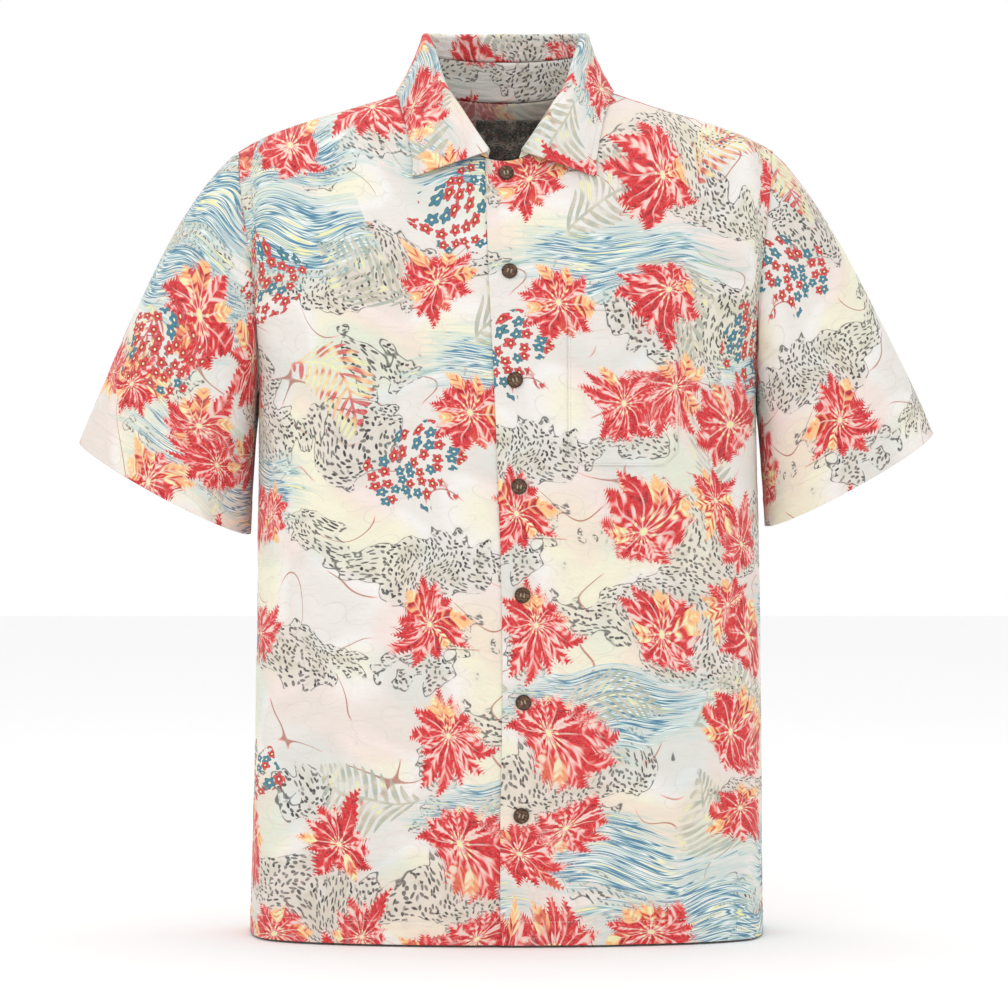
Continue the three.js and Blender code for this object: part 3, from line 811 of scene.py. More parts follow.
def cloth_material(name, offset, fade=0.0):
    """Printed cotton whose piece was cut at an offset along the print. fade pales its wrong side."""
    sheen = dict(Sheen_Weight=0.10, Sheen_Roughness=0.5)
    material, tree, shader = material_of(name, 0.82, Specular_IOR_Level=0.2, **sheen)
    place = node(tree, "ShaderNodeUVMap", uv_map="cloth")
    printed = tree.nodes.new("ShaderNodeGroup")
    printed.node_tree = PRINT
    tree.links.new(vector_math("ADD", place, (*offset, 0.0)).socket, printed.inputs[0])
    color = Value(tree, printed.outputs[0])
    if fade:
        color = mix(fade, color, WHITE)
    slubs = noise_of(place, 260.0, 2400.0)
    crossing = noise_of(place, 2400.0, 260.0, shift=8.0)
    color = mix((slubs + crossing).step(0.90, 1.25) * 0.14, color, SAND)
    tree.links.new(color.socket, shader.inputs["Base Color"])
    x, y, _ = parts(place)
    warp, weft = ((a * (2 * math.pi / THREAD_PITCH)).math("SINE") for a in (x, y))
    crepe = noise_of(place, 32.0, 125.0, detail=2.0)
    height = warp * weft * 0.05 + slubs * 0.3 + crossing * 0.3 + crepe * 5.0
    bump(tree, shader, height, 0.0004)
    return material


# Tubes, turned solids and stitches
def ring_faces(count, sides):
    """The faces between the rings of a tube or a turned solid."""
    r, c = (a.ravel() for a in np.meshgrid(np.arange(count - 1), np.arange(sides), indexing="ij"))
    after = (c + 1) % sides
    above = r + 1
    return np.stack([r * sides + c, r * sides + after, above * sides + after, above * sides + c], -1)


def turned(profile, sides):
    """A closed solid from a profile turned about its middle."""
    turn = np.arange(sides) * 2 * math.pi / sides
    rings = np.stack([point(r * np.cos(turn), r * np.sin(turn), h) for r, h in zip(*profile.values())])
    return rings.reshape(-1, 3), ring_faces(len(rings), sides)


def tube(path, radius, sides=6):
    """Points and faces of an open tube along a path."""
    path = np.asarray(path, float)
    along = unit(np.gradient(path, axis=0))
    across = unit(np.cross(along, along + (0.31, 0.17, 0.93)))
    up = np.cross(along, across)
    turn = np.arange(sides) * 2 * math.pi / sides
    cosine, sine = np.cos(turn)[None, :, None], np.sin(turn)[None, :, None]
    rings = path[:, None] + radius * (cosine * across[:, None] + sine * up[:, None])
    return rings.reshape(-1, 3), ring_faces(len(path), sides)


def joined(shapes):
    """One set of points and faces from several."""
    points, faces, count = [], [], 0
    for more_points, more_faces in shapes:
        points.append(more_points)
        faces.append(more_faces + count)
        count += len(more_points)
    return np.concatenate(points), np.concatenate(faces)


def thread_material(name, color):
    material, tree, shader = material_of(name, 0.7, Sheen_Weight=0.3)
    x, y, z = parts(node(tree, "ShaderNodeTexCoord", output=3))
    ply = noise_of(combine(tree, x + y, z), 1400.0, 3600.0)
    shade = mix(ply.step(0.3, 0.7), tuple(0.72 * c for c in color), color)
    tree.links.new(shade.socket, shader.inputs["Base Color"])
    bump(tree, shader, ply, 0.0002)
    return material


STITCH = 2.3
STITCH_GAP = 0.7
STITCH_RADIUS = 0.2
STITCH_SHARES = np.array([0, 0.2, 0.5, 0.8, 1])
STITCH_LIFTS = np.array([-0.25, 0.08, 0.16, 0.08, -0.25])


def line_across(grid, field, value):
    """The points of a grid's columns at which a field that grows along them reaches a value."""
    index = (field < value).sum(0) - 1
    index = np.clip(index, 0, len(field) - 2)
    column = np.arange(field.shape[1])
    low, high = field[index, column], field[index + 1, column]
    share = np.clip((value - low) / np.maximum(high - low, 1e-6), 0, 1)[:, None]
    return lerp(grid[index, column], grid[index + 1, column], share)


def stitch_line(outer, out, field, value):
    """The points of a line of stitches, and the directions that the cloth faces there."""
    return line_across(outer, field, value), line_across(out, field, value)


def side_lines(outer, out, across, distance):
    """Two lines of stitches, at a distance from a grid's first and last columns."""
    grids = [grid.swapaxes(0, 1) for grid in (outer, out, across)]
    back = [grid[::-1] for grid in (*grids[:2], grids[2][-1:] - grids[2])]
    return [stitch_line(*grids, distance), stitch_line(*back, distance)]


def stitched(name, lines, thread):
    """A row of stitches along each line of points and the directions that the cloth faces there."""
    shapes = []
    for line, out in lines:
        run = np.concatenate([[0], np.cumsum(np.linalg.norm(np.diff(line, axis=0), axis=1))])
        starts = np.arange(STITCH_GAP, run[-1] - STITCH, STITCH + STITCH_GAP)
        at = starts[:, None] + STITCH_SHARES * STITCH
        places = np.stack([np.interp(at, run, line[:, i]) for i in range(3)], -1)
        facing_out = unit(np.stack([np.interp(at, run, out[:, i]) for i in range(3)], -1))
        places = places + facing_out * STITCH_LIFTS[None, :, None]
        shapes += [tube(path, STITCH_RADIUS, 4) for path in places]
    return object_of(name, mesh_of(name, *joined(shapes)), [thread])


# The flat cloth under each place of the body, in millimetres
MID_LEVEL = 0.5
SIDE_TURN = 75


def half_arcs(centre):
    """Arc length and x along half a ring of the trunk, away from the centre front or back."""
    away = np.arange(0, 101.0)
    points = body_at(away if centre == 0 else 180 - away, np.full(away.shape, MID_LEVEL))
    return away, run_along(points[None], 1)[0], np.abs(points[:, 0])


def body_cloth(angle, level, points, centre):
    """Place on the flat cut: across from the centre line, and up from the hem."""
    away, arc, half = half_arcs(centre)
    turned = (angle - centre + 180) % 360 - 180
    across = np.sign(turned) * np.interp(np.abs(turned), away, arc)
    x = np.abs(points[..., 0])
    near = slice(SIDE_TURN + 1)
    beyond = np.maximum(0, x - half[SIDE_TURN])
    flat = np.sign(points[..., 0]) * (np.interp(x, half[near], arc[near]) + beyond)
    if centre:
        flat = -flat
    across = lerp(across, flat, smoothstep(level, 0.9, 1.4))
    grid = np.arange(-180, 541, 3.0)
    line = body_at(grid[None, :], level[:, :1])
    rise = np.linalg.norm(np.diff(line[..., 1:], axis=0), axis=-1)
    rise = np.concatenate([np.zeros((1, len(grid))), np.cumsum(rise, 0)])
    up = np.stack([np.interp(a, grid, r) for a, r in zip(angle, rise)])
    return np.stack([across, up], -1)


def yoke_cloth(points):
    """Place on the yoke's flat cut: across from the centre, and back from the shoulder line."""
    seam = body_at(90.0, np.linspace(2, 3, 40))[::-1]
    x = np.abs(points[..., 0])
    y0, z0 = np.interp(x, seam[:, 0], seam[:, 1]), np.interp(x, seam[:, 0], seam[:, 2])
    back = np.hypot(points[..., 1] - y0, points[..., 2] - z0)
    return np.stack([-points[..., 0], -back], -1)


# Rows and columns of the panels
HEM = 20
STEP = 4.2
FINE_EDGE = (0.985, 0.99, 0.9935, 0.9965, 0.9985, 1.0)


def hem_heights(stop):
    """Heights of the trunk's rows, close together at the hem's stitches."""
    near = [0, 0.4, 1, 2, 4, 7, 10, 13, 16, 18, 19, 19.6, 20.2, 20.8, 21.6, 23, 26]
    return np.concatenate([near, np.linspace(26, stop, round((stop - 26) / STEP) + 1)[1:]])


FINE_LEVELS = np.linspace(0, 1, 400)
FINE_HEIGHTS = trunk_at(np.zeros(400), FINE_LEVELS)[:, 2]
ROW_HEIGHTS = FINE_HEIGHTS[0] + hem_heights(FINE_HEIGHTS[-1] - FINE_HEIGHTS[0])
TRUNK_ROWS = np.interp(ROW_HEIGHTS, FINE_HEIGHTS, FINE_LEVELS)
ARMHOLE_ROWS = 1.5 + 0.5 * np.cos(np.radians(np.linspace(180, 0, 57)[1:]))
YOKE_LEVEL = 1.5 + 0.5 * math.cos(math.radians(YOKE_TURN))
NECK_ROWS = np.linspace(2, 3, 31)[1:]
FRONT_ROWS = np.concatenate([TRUNK_ROWS, ARMHOLE_ROWS, NECK_ROWS])
BACK_ROWS = np.concatenate([TRUNK_ROWS, ARMHOLE_ROWS[ARMHOLE_ROWS < YOKE_LEVEL + 0.001]])
YOKE_ROWS = np.concatenate([ARMHOLE_ROWS[ARMHOLE_ROWS > YOKE_LEVEL - 0.001], NECK_ROWS])


def shares(count, near_start=True, near_end=True):
    """Shares from 0 to 1 with fine steps at the seams."""
    fine = np.array(FINE_EDGE)
    inner = np.linspace(1 - fine[0] if near_start else 0, fine[0] if near_end else 1, count)
    start = 1 - fine[:0:-1] if near_start else []
    end = fine[1:] if near_end else []
    return np.concatenate([start, inner, end])


def placket_calm(points):
    """Less unevenness at the button line, where the cloth is doubled."""
    near = np.exp(-(((points[..., 0] - 9) / 34) ** 2)) * (points[..., 1] < 0)
    return 1 - 0.85 * near


# Creases on the flat cloth, in millimetres across from the centre line and up from the hem
CREASE = "across up long wide depth tilt"
BOW = 0.18
FRONT_CREASES = table(
    CREASE,
    (172, 500, 75, 9, -1.4, 40),
    (188, 450, 60, 7, 1.1, 26),
    (150, 556, 60, 8, -1.0, 54),
    (196, 352, 75, 10, -1.3, 14),
    (118, 322, 90, 12, 0.9, -9),
    (66, 236, 75, 9, -0.8, 12),
    (168, 204, 85, 12, -1.2, -15),
    (108, 118, 70, 9, 0.8, 7),
    (62, 590, 55, 8, -0.7, -22),
    (128, 632, 50, 8, -0.9, 66),
    (92, 436, 65, 8, -0.6, 18),
)
BACK_CREASES = table(
    CREASE,
    (176, 506, 80, 10, -1.5, 42),
    (-168, 498, 70, 9, -1.3, -38),
    (150, 430, 70, 9, 1.0, 20),
    (-186, 420, 80, 8, 1.2, -24),
    (60, 356, 90, 12, -1.0, 8),
    (-84, 300, 85, 11, -1.1, -12),
    (20, 208, 80, 12, 1.0, 15),
    (-150, 186, 75, 10, -1.0, 10),
    (160, 144, 80, 11, -1.2, -18),
    (-20, 560, 70, 10, -0.7, 3),
    (-40, 96, 60, 9, 0.8, -10),
)
SLEEVE_CREASES = table(
    CREASE,
    (64, 150, 50, 9, -1.1, 62),
    (112, 92, 60, 9, 1.2, 42),
    (158, 138, 45, 7, -1.4, 52),
    (196, 96, 40, 7, -1.0, 80),
    (262, 128, 45, 8, -1.2, -62),
    (312, 84, 55, 9, 1.0, -40),
    (356, 150, 40, 8, -1.1, -58),
)
YOKE_CREASES = table(
    CREASE,
    (120, -60, 45, 9, -0.7, 20),
    (-105, -48, 50, 8, -0.8, -28),
    (10, -70, 60, 10, 0.6, 4),
)


def creases(cloth, rows, mirror=1):
    """Soft troughs and ridges: each is a bowed line on the flat cloth that fades out at its ends."""
    found = 0
    for across, up, long, wide, depth, tilt in zip(*rows.values()):
        cosine, sine = math.cos(math.radians(tilt)), math.sin(math.radians(tilt))
        right, above = mirror * cloth[..., 0] - across, cloth[..., 1] - up
        run, beside = right * cosine + above * sine, above * cosine - right * sine
        beside = beside + run * run / long * BOW
        found = found + depth * np.exp(-((beside / wide) ** 2)) * np.clip(1 - (run / long) ** 2, 0, 1) ** 2
    return found


def hem_relief(up, across):
    """A hem's fold, with its line of stitches and the ripples that they draw up."""
    doubled = 0.35 * (1 - smoothstep(up, HEM - 0.6, HEM + 0.8))
    return doubled + groove(up - HEM, 1.0, 0.3) + puckers(up - HEM, across, 9, 11, 0.26)


def seam_relief(distance, run, pitch=17):
    """The hollow at a seam, and the ripples beside it."""
    return groove(distance, 1.6, 0.7) + puckers(distance, run, 8, pitch, 0.24)


def side_seams(across, up):
    """The relief of the seams at both sides of a piece."""
    return seam_relief(across, up) + seam_relief(across[:, -1:] - across, up)


def cut_of(cloth):
    """The size of a piece's flat cut in metres, and its area in square metres."""
    one = cloth[1:, 1:] - cloth[:-1, :-1]
    other = cloth[1:, :-1] - cloth[:-1, 1:]
    area = float(np.abs(one[..., 0] * other[..., 1] - one[..., 1] * other[..., 0]).sum() / 2) * MM * MM
    width, length = (float(size) for size in np.ptp(cloth.reshape(-1, 2), axis=0) * MM)
    return (width, length), min(area, width * length)


def layers(smooth, out, lift, thick=CLOTH):
    """The outer and inner points of cloth whose face lies off a smooth form by a lift."""
    return smooth + out * lift[..., None], smooth + out * (lift - thick)[..., None]


THREAD = thread_material("seam_thread", (0.80, 0.75, 0.66))


def sewn(node_name, outer, inner, cloth, materials, stitches, closed=False):
    """A piece of cloth with its stitches, which replaces a node."""
    piece = wall(f"{node_name}_cloth", outer, inner, cloth, materials, closed)
    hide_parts(node_name)
    if stitches:
        stitched(f"{node_name}_stitches", stitches, THREAD)
    flat, area = cut_of(cloth)


def faces_of(angle, level, relief, depth=0.0):
    """A body panel's outer and inner points, and the directions that they face."""
    smooth = body_at(angle, level)
    out = body_facing(angle, level)
    lift = drape(smooth, placket_calm(smooth)) + relief - depth
    return (*layers(smooth, out, lift), out)


# Where each piece was cut along the print, in metres
CUTS = {
    "front_left": (0.130, 0.020),
    "front_right": (0.205, 0.115),
    "back": (0.05, 0.3),
    "yoke": (0.31, 0.2),
    "sleeve_left": (0.02, 0.33),
    "sleeve_right": (0.27, 0.05),
    "collar_stand": (0.20, 0.42),
    "collar_leaf": (0.33, 0.27),
    "pocket": (0.130, 0.020),
}


def right_side(name):
    return cloth_material(f"print_{name}", CUTS[name])


def both_sides(name):
    """The right and wrong side of a piece's cloth."""
    return [right_side(name), cloth_material(f"print_{name}_reverse", CUTS[name], REVERSE_FADE)]


PLACKET = 33
PLACKET_RISE = 0.6
PLACKET_COLUMNS = {
    "left": [-18, -17.7, -17.2, -16.4, -15, -12, -8, -4, 0, 4, 8, 11, 13, 14, 14.6, 15.2, 16, 18],
    "right": [
        -48, -42, -36, -31, -27, -24, -22, -20.5, -19.5, -18.8, -18, -17, -15, -12, -6, 0, 6, 12, 17, 18
    ],
}
LEFT_COLUMNS = 78
RIGHT_COLUMNS = 70
BACK_COLUMNS = 150
YOKE_COLUMNS = 120
COLLAR_COLUMNS = 260


def build_front(side):
    level = FRONT_ROWS[:, None]
    line = line_at(level)
    end = panel_end(level, ARMHOLE_FRONT)
    band = angle_at_x(line + PLACKET_COLUMNS[side], level)
    if side == "left":
        rest = lerp(band[:, -1:], end, shares(LEFT_COLUMNS, near_start=False)[1:])
        angle = np.concatenate([band, rest], 1)
    else:
        rest = lerp(-end, band[:, :1], shares(RIGHT_COLUMNS, near_end=False)[:-1])
        angle = np.concatenate([rest, band], 1)
    level = np.broadcast_to(level, angle.shape)
    points = body_at(angle, level)
    cloth = body_cloth(angle, level, points, 0)
    across, up = run_along(points, 1), run_along(points, 0)
    from_side = across[:, -1:] - across if side == "left" else across
    mirror = 1 if side == "left" else -1
    relief = seam_relief(from_side, up) + hem_relief(up, across) + creases(cloth, FRONT_CREASES, mirror)
    if side == "left":
        rolled = -0.5 * (1 - smoothstep(across, 0, 0.9))
        relief = relief + rolled + PLACKET_RISE * (1 - smoothstep(across, PLACKET - 1.2, PLACKET + 1.2))
        depth = 0.0
    else:
        past = line - BUTTON_BAND - points[..., 0]
        depth = (WALL + SEAM_GAP) * (1 - smoothstep(past, 0.01, UNDERLAP_END - BUTTON_BAND))
    outer, inner, out = faces_of(angle, level, relief, depth)
    hem = stitch_line(outer, out, up, HEM)
    name = f"front_{side}"
    sewn(name, outer, inner, cloth, both_sides(name), [hem])


def build_back():
    level = BACK_ROWS[:, None].copy()
    level[-1] -= SEAM_LEVEL
    end = panel_end(level, -ARMHOLE_BACK)
    angle = lerp(end, 360 - end, shares(BACK_COLUMNS))
    level = np.broadcast_to(level, angle.shape)
    points = body_at(angle, level)
    cloth = body_cloth(angle, level, points, 180)
    across, up = run_along(points, 1), run_along(points, 0)
    relief = side_seams(across, up) + hem_relief(up, across)
    relief = relief + seam_relief(up[-1:] - up, across, 14) + creases(cloth, BACK_CREASES)
    outer, inner, out = faces_of(angle, level, relief)
    hem = stitch_line(outer, out, up, HEM)
    sewn("back", outer, inner, cloth, both_sides("back"), [hem])


EDGE_STITCH = 2.0


def build_yoke():
    level = YOKE_ROWS[:, None].copy()
    level[0] += SEAM_LEVEL
    end = panel_end(level, -ARMHOLE_BACK)
    angle = lerp(end, 360 - end, shares(YOKE_COLUMNS))
    level = np.broadcast_to(level, angle.shape)
    points = body_at(angle, level)
    cloth = yoke_cloth(points)
    across, up = run_along(points, 1), run_along(points, 0)
    relief = side_seams(across, up) + creases(cloth, YOKE_CREASES)
    relief = relief + groove(up, 1.4, 0.4) + puckers(up, across, 8, 14, 0.2)
    outer, inner, out = faces_of(angle, level, relief)
    over = YOKE_ROWS >= 2
    lines = [stitch_line(outer, out, up, EDGE_STITCH)]
    lines += side_lines(outer[over], out[over], across[over], EDGE_STITCH)
    sewn("yoke", outer, inner, cloth, both_sides("yoke"), lines)


SLEEVE_HEM = 26
SLEEVE_COLUMNS = 112
SLEEVE_STEPS = np.concatenate([
    [0, 0.004, 0.008, 0.014, 0.022, 0.034],
    np.linspace(0.05, 0.84, 40),
    [0.852, 0.862, 0.870, 0.878, 0.886, 0.894, 0.904, 0.92, 0.94, 0.96, 0.98, 0.992, 0.997, 1],
])


def build_sleeve(side):
    hem = SLEEVE_HEMS[side]
    turn = np.arange(SLEEVE_COLUMNS + 1) * 360 / SLEEVE_COLUMNS
    turns, v = np.meshgrid(hem["side"] * turn, SLEEVE_STEPS)

    def surface(around, along):
        return sleeve_at(hem, around, along)

    smooth = surface(turns, v)
    out = facing(surface, turns, v, hem["side"] * 1.0, 0.02, 0, 1)
    at_arm = body_facing(*armhole_at(hem["side"], turns[0]))
    out[0] = unit(lerp(out[0], at_arm, smoothstep(np.cos(np.radians(turns[0])), -0.75, -0.2)[:, None]))
    length, around = run_along(smooth, 0), run_along(smooth, 1)
    up = length[-1:] - length
    mean = around[:, -1].mean()
    flat = np.broadcast_to(turn[None, :] / 360 * mean, up.shape)
    cloth = np.stack([flat * hem["side"], up], -1)
    relief = seam_relief(length, around, 15) + creases(np.stack([flat, up], -1), SLEEVE_CREASES)
    relief = relief + hem_relief(up - SLEEVE_HEM + HEM, around)
    lift = drape(smooth) * smoothstep(length, 0, 12) + relief
    outer, inner = layers(smooth, out, lift)
    line = stitch_line(outer[::-1], out[::-1], up[::-1], SLEEVE_HEM)
    name = f"sleeve_{side}"
    sides = both_sides(name)
    sewn(name, outer[:, :-1], inner[:, :-1], cloth, sides, [line], closed=True)


COLLAR_STITCH = 5.5
LEAF_STEPS = np.concatenate([
    np.linspace(0, 1, 9),
    np.linspace(1, 2, 11)[1:],
    np.linspace(2, 2.82, 34)[1:],
    [2.84, 2.855, 2.87, 2.885, 2.90, 2.92, 2.94, 2.96, 2.975, 2.987, 2.995, 3],
])


COLLAR_ANGLES = lerp(FRONT_END, 360 - FRONT_END, shares(COLLAR_COLUMNS))


def build_collar_stand():
    angle, v = np.meshgrid(COLLAR_ANGLES, np.linspace(0, 1, 14))
    smooth = stand_at(angle, v)
    out = facing(stand_at, angle, v, 0.5, 0.02, 0, 1)
    across, up = run_along(smooth, 1), run_along(smooth, 0)
    cloth = np.stack([across - across[:, -1:] / 2, up], -1)
    outer, inner = layers(smooth, out, gathers(across, v), WALL)
    sewn("collar_stand", outer, inner, cloth, [right_side("collar_stand")], [])


def gathers(across, v):
    """Soft upright wrinkles of the stand, which the neck's curve draws up."""
    wander = 2.2 * np.sin(across / 17)
    return 0.42 * np.sin(across / 2.9 + wander) * np.sin(across / 23 + 1) * (1 - 0.4 * v)


def build_collar_leaf():
    angle, v = np.meshgrid(COLLAR_ANGLES, LEAF_STEPS)
    smooth = leaf_at(angle, v)
    out = facing(leaf_at, angle, v, 0.5, 0.02, 0, 3)
    across, down = run_along(smooth, 1), run_along(smooth, 0)
    cloth = np.stack([across - across[:, -1:] / 2, -down], -1)
    edge = down[-1:] - down
    up_the_stand = 1 - smoothstep(v, 0.7, 1.3)
    fallen = smoothstep(v, 2, 2.9)
    lift = gathers(across, v) * up_the_stand - (drape(smooth) + 0.25) * fallen
    beside = edge - COLLAR_STITCH
    lift = lift - groove(beside, 0.9, 0.25) - puckers(beside, across, 4, 9, 0.12)
    outer, inner = layers(smooth, out, lift, WALL)
    line = stitch_line(inner[::-1], -out[::-1], edge[::-1], COLLAR_STITCH)
    sides = [right_side("collar_leaf")]
    sewn("collar_leaf", outer, inner, cloth, sides, [line])


POCKET_HEM = 20


def front_cloth_at(angle, level):
    """The flat cloth of the left front at some angles and levels of its surface."""
    across = np.linspace(0, 70, 90)
    rows = np.arange(len(FRONT_ROWS))
    whole_angle, whole_level = np.meshgrid(across, FRONT_ROWS)
    whole = body_cloth(whole_angle, whole_level, body_at(whole_angle, whole_level), 0)
    row = np.interp(level, FRONT_ROWS, rows)
    column = np.interp(angle, across, np.arange(len(across)))
    r, c = np.minimum(row.astype(int), len(rows) - 2), np.minimum(column.astype(int), len(across) - 2)
    down, right = (row - r)[..., None], (column - c)[..., None]
    one = lerp(whole[r, c], whole[r, c + 1], right)
    other = lerp(whole[r + 1, c], whole[r + 1, c + 1], right)
    return lerp(one, other, down)


def build_pocket():
    height = POCKET["top"] - POCKET["bottom"]
    fine = np.array([0, 0.5, 1.2, 2, 2.8, 4])
    from_top = np.array([23, 21.4, 20.6, 20, 19.4, 18.6, 16, 12, 8, 4, 2, 0.8, 0])
    rises = np.concatenate([fine, np.linspace(7, height - 26, 24), height - from_top])[:, None]
    cut = np.maximum(0, POCKET["corner"] - rises)
    width = POCKET["right"] - POCKET["left"] - 2 * cut
    near = np.broadcast_to(fine, (len(rises), len(fine)))
    middle = lerp(6.0, width - 6, np.linspace(0, 1, 24))
    across = np.concatenate([near, middle, width - fine[::-1]], 1)
    angle, level = on_front(POCKET["left"] + cut + across, POCKET["bottom"] + rises)
    smooth, out = body_at(angle, level), body_facing(angle, level)
    run, up = run_along(smooth, 1), run_along(smooth, 0)
    edge = np.minimum(np.minimum(run, run[:, -1:] - run), up)
    cloth = front_cloth_at(angle, level)
    lift = drape(smooth, placket_calm(smooth)) + creases(cloth, FRONT_CREASES) + POCKET["lift"]
    relief = groove(edge - EDGE_STITCH, 0.7, 0.3) - 0.3 * (1 - smoothstep(edge, 0, 1))
    relief = relief + groove(up[-1:] - up - POCKET_HEM, 0.9, 0.25)
    relief = relief + 0.3 * smoothstep(up, height - 21, height - 19.4)
    outer = smooth + out * (lift + POCKET["thick"] + relief)[..., None]
    inner = smooth + out * lift[..., None]
    lines = [stitch_line(outer, out, up, EDGE_STITCH)]
    lines.append(stitch_line(outer, out, up, up[-1, 0] - POCKET_HEM))
    lines += side_lines(outer, out, run, EDGE_STITCH)
    sewn("pocket", outer, inner, cloth, [right_side("pocket")], lines)


def build_label():
    level = np.linspace(LABEL["bottom"], LABEL["top"], 14)[:, None]
    x = np.linspace(LABEL["x"] + LABEL["half"], LABEL["x"] - LABEL["half"], 24)[None, :]
    angle = angle_at_x(*np.broadcast_arrays(x, level), 180)
    level = np.broadcast_to(level, angle.shape)
    smooth, out = body_at(angle, level), body_facing(angle, level)
    depth = WALL + LABEL["lift"] - drape(smooth)
    outer, inner = layers(smooth, out, -depth, LABEL["thick"])
    cloth = np.stack([run_along(smooth, 1), run_along(smooth, 0)], -1)
    material, tree, shader = material_of("label_weave", 0.8, Sheen_Weight=0.2)
    place = node(tree, "ShaderNodeUVMap", uv_map="cloth")
    ribs = (parts(place)[1] * (2 * math.pi / 0.0008)).math("SINE")
    fleck = noise_of(place, 420.0, 900.0, detail=1.0)
    tone = noise_of(place, 90.0, detail=2.0)
    color = ramp(
        fleck * 0.6 + tone * 0.45,
        (0.38, (0.035, 0.032, 0.030)),
        (0.50, (0.170, 0.155, 0.135)),
        (0.60, (0.340, 0.300, 0.250)),
        (0.70, (0.60, 0.53, 0.44)),
    )
    tint = noise_of(place, 170.0, detail=1.0, shift=6.0)
    color = mix(tint.step(0.60, 0.68) * 0.5, color, (0.05, 0.11, 0.10))
    color = mix((1 - tint).step(0.62, 0.70) * 0.4, color, (0.20, 0.07, 0.05))
    tree.links.new(color.socket, shader.inputs["Base Color"])
    bump(tree, shader, ribs * 0.3 + fleck, 0.0003)
    label = wall("label_woven", outer, inner, cloth, [material])
    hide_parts("label")
    flat, area = cut_of(cloth)


# Buttons of coconut shell
BUTTON_PROFILE = table(
    "radius height",
    (0.01, 0.0),
    (5.2, 0.0),
    (6.2, 0.25),
    (6.7, 0.8),
    (6.8, 1.4),
    (6.6, 2.1),
    (6.2, 2.5),
    (5.7, 2.6),
    (5.2, 2.45),
    (4.7, 2.0),
    (4.0, 1.8),
    (0.01, 1.75),
)
BUTTON_LIFT = 0.6
RIM_START = 5.6
# The share of painted shade on the button's rim: its colour is darkened where the edge turns from the light.
RIM_PAINTED_SHADE = 0.65
HOLE_RADIUS = 0.85
HOLE_OFFSET = 1.5
TOP_HEIGHT = 1.75


def coconut_material(name, painted_shade):
    """Mottled brown shell, darkened by a share as painted shade, for the rim that turns away from the light.
    """
    coat = dict(Coat_Weight=0.12, Coat_Roughness=0.3)
    material, tree, shader = material_of(name, 0.5, Specular_IOR_Level=0.35, **coat)
    x, _, z = parts(node(tree, "ShaderNodeTexCoord", output=3))
    bent = rotated(combine(tree, x, z), 0.5)
    streak = noise_of(bent, 260.0, 900.0, detail=2.0)
    fleck, (chance, _, _), _ = cells_of(bent, 700.0, 1500.0)
    color = ramp(
        streak,
        (0.30, (0.012, 0.005, 0.002)),
        (0.46, (0.060, 0.025, 0.010)),
        (0.60, (0.140, 0.062, 0.026)),
        (0.76, (0.26, 0.135, 0.065)),
    )
    marks = (1 - fleck.step(0.18, 0.36)) * chance.step(0.45, 0.55)
    color = mix(marks * 0.3, color, (0.34, 0.23, 0.13))
    # Painted shade: the rim's copy of the shell is darkened towards near black.
    if painted_shade:
        color = mix(painted_shade, color, (0.008, 0.004, 0.002))
    tree.links.new(color.socket, shader.inputs["Base Color"])
    bump(tree, shader, streak, 0.0003)
    return material


def drilled(points, faces):
    """The button's mesh with its four thread holes cut through."""
    blank = linked("button_blank", mesh_of("button_blank", points, faces))
    pins = []
    for x, y in itertools.product((-HOLE_OFFSET, HOLE_OFFSET), repeat=2):
        sides = table("radius height", (0.001, -1), (HOLE_RADIUS, -1), (HOLE_RADIUS, 4), (0.001, 4))
        pin_points, pin_faces = turned(sides, 16)
        pins.append((pin_points + (x, y, 0), pin_faces))
    pin = linked("pins", mesh_of("pins", *joined(pins)))
    cutter = blank.modifiers.new("holes", "BOOLEAN")
    cutter.object = pin
    cutter.solver = "EXACT"
    shown = blank.evaluated_get(bpy.context.evaluated_depsgraph_get())
    made = bpy.data.meshes.new_from_object(shown)
    bpy.data.objects.remove(blank)
    bpy.data.objects.remove(pin)
    made.polygons.foreach_set("use_smooth", [True] * len(made.polygons))
    made.set_sharp_from_angle(angle=math.radians(50))
    # Faces beyond RIM_START take the second material, the shell darkened as painted shade.
    on_rim = [math.hypot(face.center.x, face.center.y) > RIM_START * MM for face in made.polygons]
    made.polygons.foreach_set("material_index", np.array(on_rim, int))
    return made


BUTTONHOLE_HALF = 7.6
BUTTONHOLE_BARS = 34
BUTTON_LEAN = 17
STRAND_RADIUS = 0.27
STRAND_SPREADS = (-0.42, 0.0, 0.42)


def buttonhole(across, up, out, middle):
    """The satin stitches round an upright slit, as one zigzag tube."""
    bars = np.arange(2 * BUTTONHOLE_BARS)
    turn = bars * math.pi / BUTTONHOLE_BARS
    reach = np.where(bars % 2 == 0, 0.45, 1.5)
    x, y = reach * np.sin(turn), (BUTTONHOLE_HALF - 1.5 + reach * 0.8) * np.cos(turn)
    path = middle + x[:, None] * across + y[:, None] * up + np.where(bars % 2 == 0, 0.1, 0.0)[:, None] * out
    return tube(path, 0.28, 5)


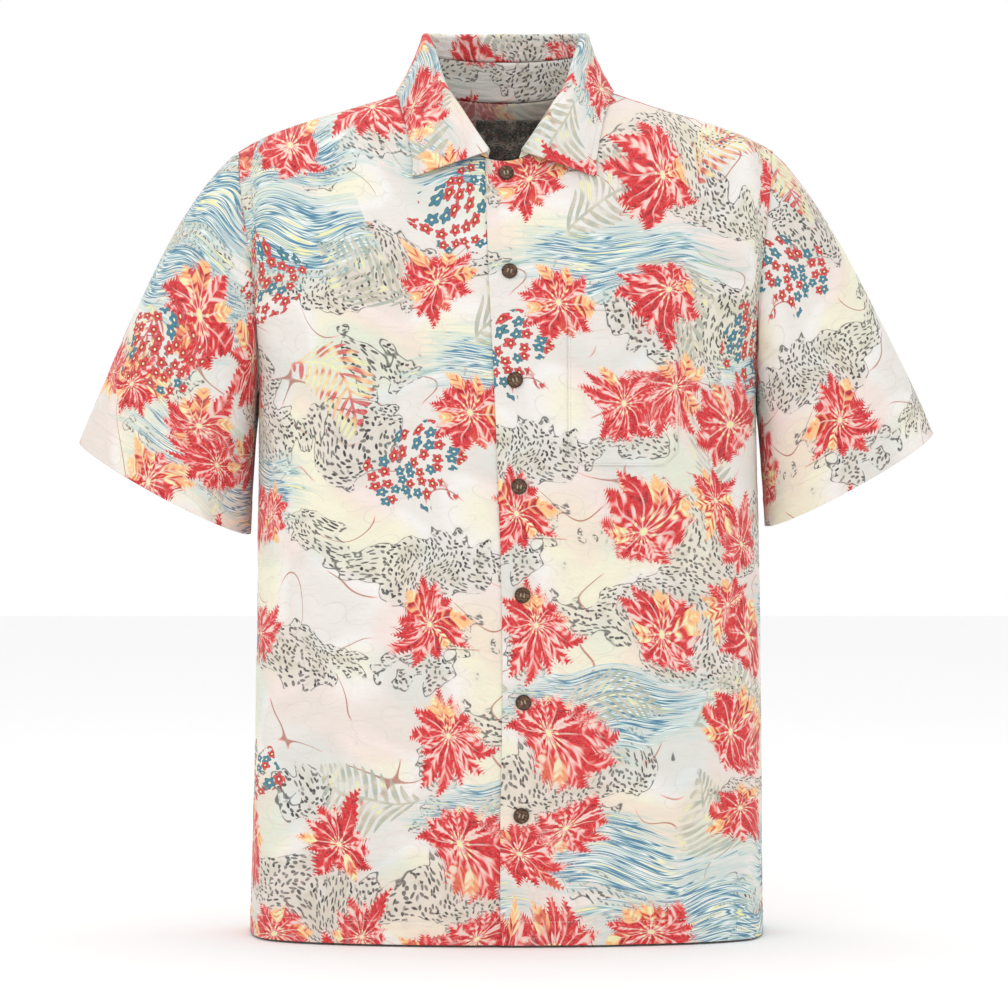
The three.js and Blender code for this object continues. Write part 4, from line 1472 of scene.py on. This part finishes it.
def build_buttons():
    """Each button's piece and thread, in the order of the frame's names."""
    # The second material is the shell with painted shade, for the rim.
    shells = [coconut_material("coconut_shell", 0), coconut_material("coconut_rim_painted_shade", RIM_PAINTED_SHADE)]
    thread = thread_material("button_thread", (0.50, 0.40, 0.28))
    blank = drilled(*turned(BUTTON_PROFILE, 56))
    made = []
    for name in sorted(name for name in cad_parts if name.startswith("button_")):
        low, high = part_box(name)
        centre = (Vector(low) + Vector(high)) / 2 / MM
        angle, level = on_front(np.array([centre.x]), np.array([centre.z]))
        surface = body_at(angle, level)
        out = body_facing(angle, level)[0]
        base = surface[0] + out * (BUTTON_LIFT + drape(surface, placket_calm(surface))[0])
        up = unit(np.array([0, 0, 1.0]) - out * out[2])
        across = np.cross(up, out)
        hole = buttonhole(across, up, out, base - out * (BUTTON_LIFT - PLACKET_RISE - 0.1))
        number = int(name[-1])
        lean = math.radians(BUTTON_LEAN * math.sin(number * 2.4))
        cosine, sine = math.cos(lean), math.sin(lean)
        across, up = across * cosine + up * sine, up * cosine - across * sine
        basis = np.stack([across, up, out])

        mesh = blank.copy()
        places = np.array([v.co for v in mesh.vertices]) / MM
        mesh.vertices.foreach_set("co", ((places @ basis + base) * MM).ravel())
        piece = object_of(f"coconut_{number}", mesh, shells)
        strands = []
        share = np.linspace(-1, 1, 9)
        y = share * (HOLE_OFFSET + 0.35)
        rise = TOP_HEIGHT + 0.35 - 1.3 * np.maximum(0, np.abs(share) - 0.72) * 3
        for x, spread in itertools.product((-HOLE_OFFSET, HOLE_OFFSET), STRAND_SPREADS):
            path = point(x + spread * (1 - 0.3 * share**2), y, rise + 0.18 * (spread == 0))
            strands.append(tube(path @ basis + base, STRAND_RADIUS))
        tie = object_of(f"button_thread_{number}", mesh_of("thread", *joined(strands)), [thread])
        rim = object_of(f"buttonhole_{number}", mesh_of("buttonhole", *hole), [THREAD])
        made.append((name, piece, tie, rim))
    return made


for side in ("left", "right"):
    build_front(side)
    build_sleeve(side)
build_back()
build_yoke()
build_collar_stand()
build_collar_leaf()
build_pocket()
build_label()
for name, piece, tie, rim in build_buttons():
    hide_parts(name)

# Floor, light and camera
FLOOR_Z = cad_low.z - 0.002
FLOOR_REACH = 9.0


def build_stage():
    """A flat white floor below the hem, which only the pictures use."""
    x, y = np.array([(-1, -1), (1, -1), (1, 1), (-1, 1)]).T * FLOOR_REACH
    mesh = mesh_of("floor", point(x, y, FLOOR_Z) / MM, np.array([[0, 1, 2, 3]]))
    floor = linked("floor", mesh)
    material, _, shader = material_of("floor_paper", 0.9)
    shader.inputs["Base Color"].default_value = (0.94, 0.94, 0.94, 1)
    mesh.materials.append(material)


def area_light(name, place, aim, size, power):
    data = bpy.data.lights.new(name, "AREA")
    data.shape = "RECTANGLE"
    data.size, data.size_y = size
    data.energy = power
    light = linked(name, data)
    light.location = place
    light.rotation_euler = (Vector(aim) - Vector(place)).to_track_quat("-Z", "Y").to_euler()


build_stage()
area_light("overhead", (0.1, 0.45, 2.2), (0, -0.1, -0.7), (2.4, 1.4), 12)
area_light("key", (-1.2, -3.0, 1.4), (0, 0, -0.35), (2.4, 1.8), 18)
world = bpy.data.worlds.new("studio")
world.use_nodes = True
background = world.node_tree.nodes["Background"]
background.inputs["Color"].default_value = (1, 1, 1, 1)
background.inputs["Strength"].default_value = 1.0
bpy.context.scene.world = world
bpy.context.scene.view_settings.view_transform = "Standard"

CAMERA_AWAY = 3.2
CAMERA_X = -0.0018
CAMERA_Z = -0.372
SENSOR = 36.0
METRES_PER_PIXEL = 0.00089
IMAGE_PIXELS = 1008
camera_data = bpy.data.cameras.new("camera")
camera_data.sensor_width = SENSOR
camera_data.lens = SENSOR * CAMERA_AWAY / (IMAGE_PIXELS * METRES_PER_PIXEL)
camera = linked("camera", camera_data)
camera.location = (CAMERA_X, -CAMERA_AWAY, CAMERA_Z)
camera.rotation_euler = (math.pi / 2, 0, 0)
bpy.context.scene.camera = camera
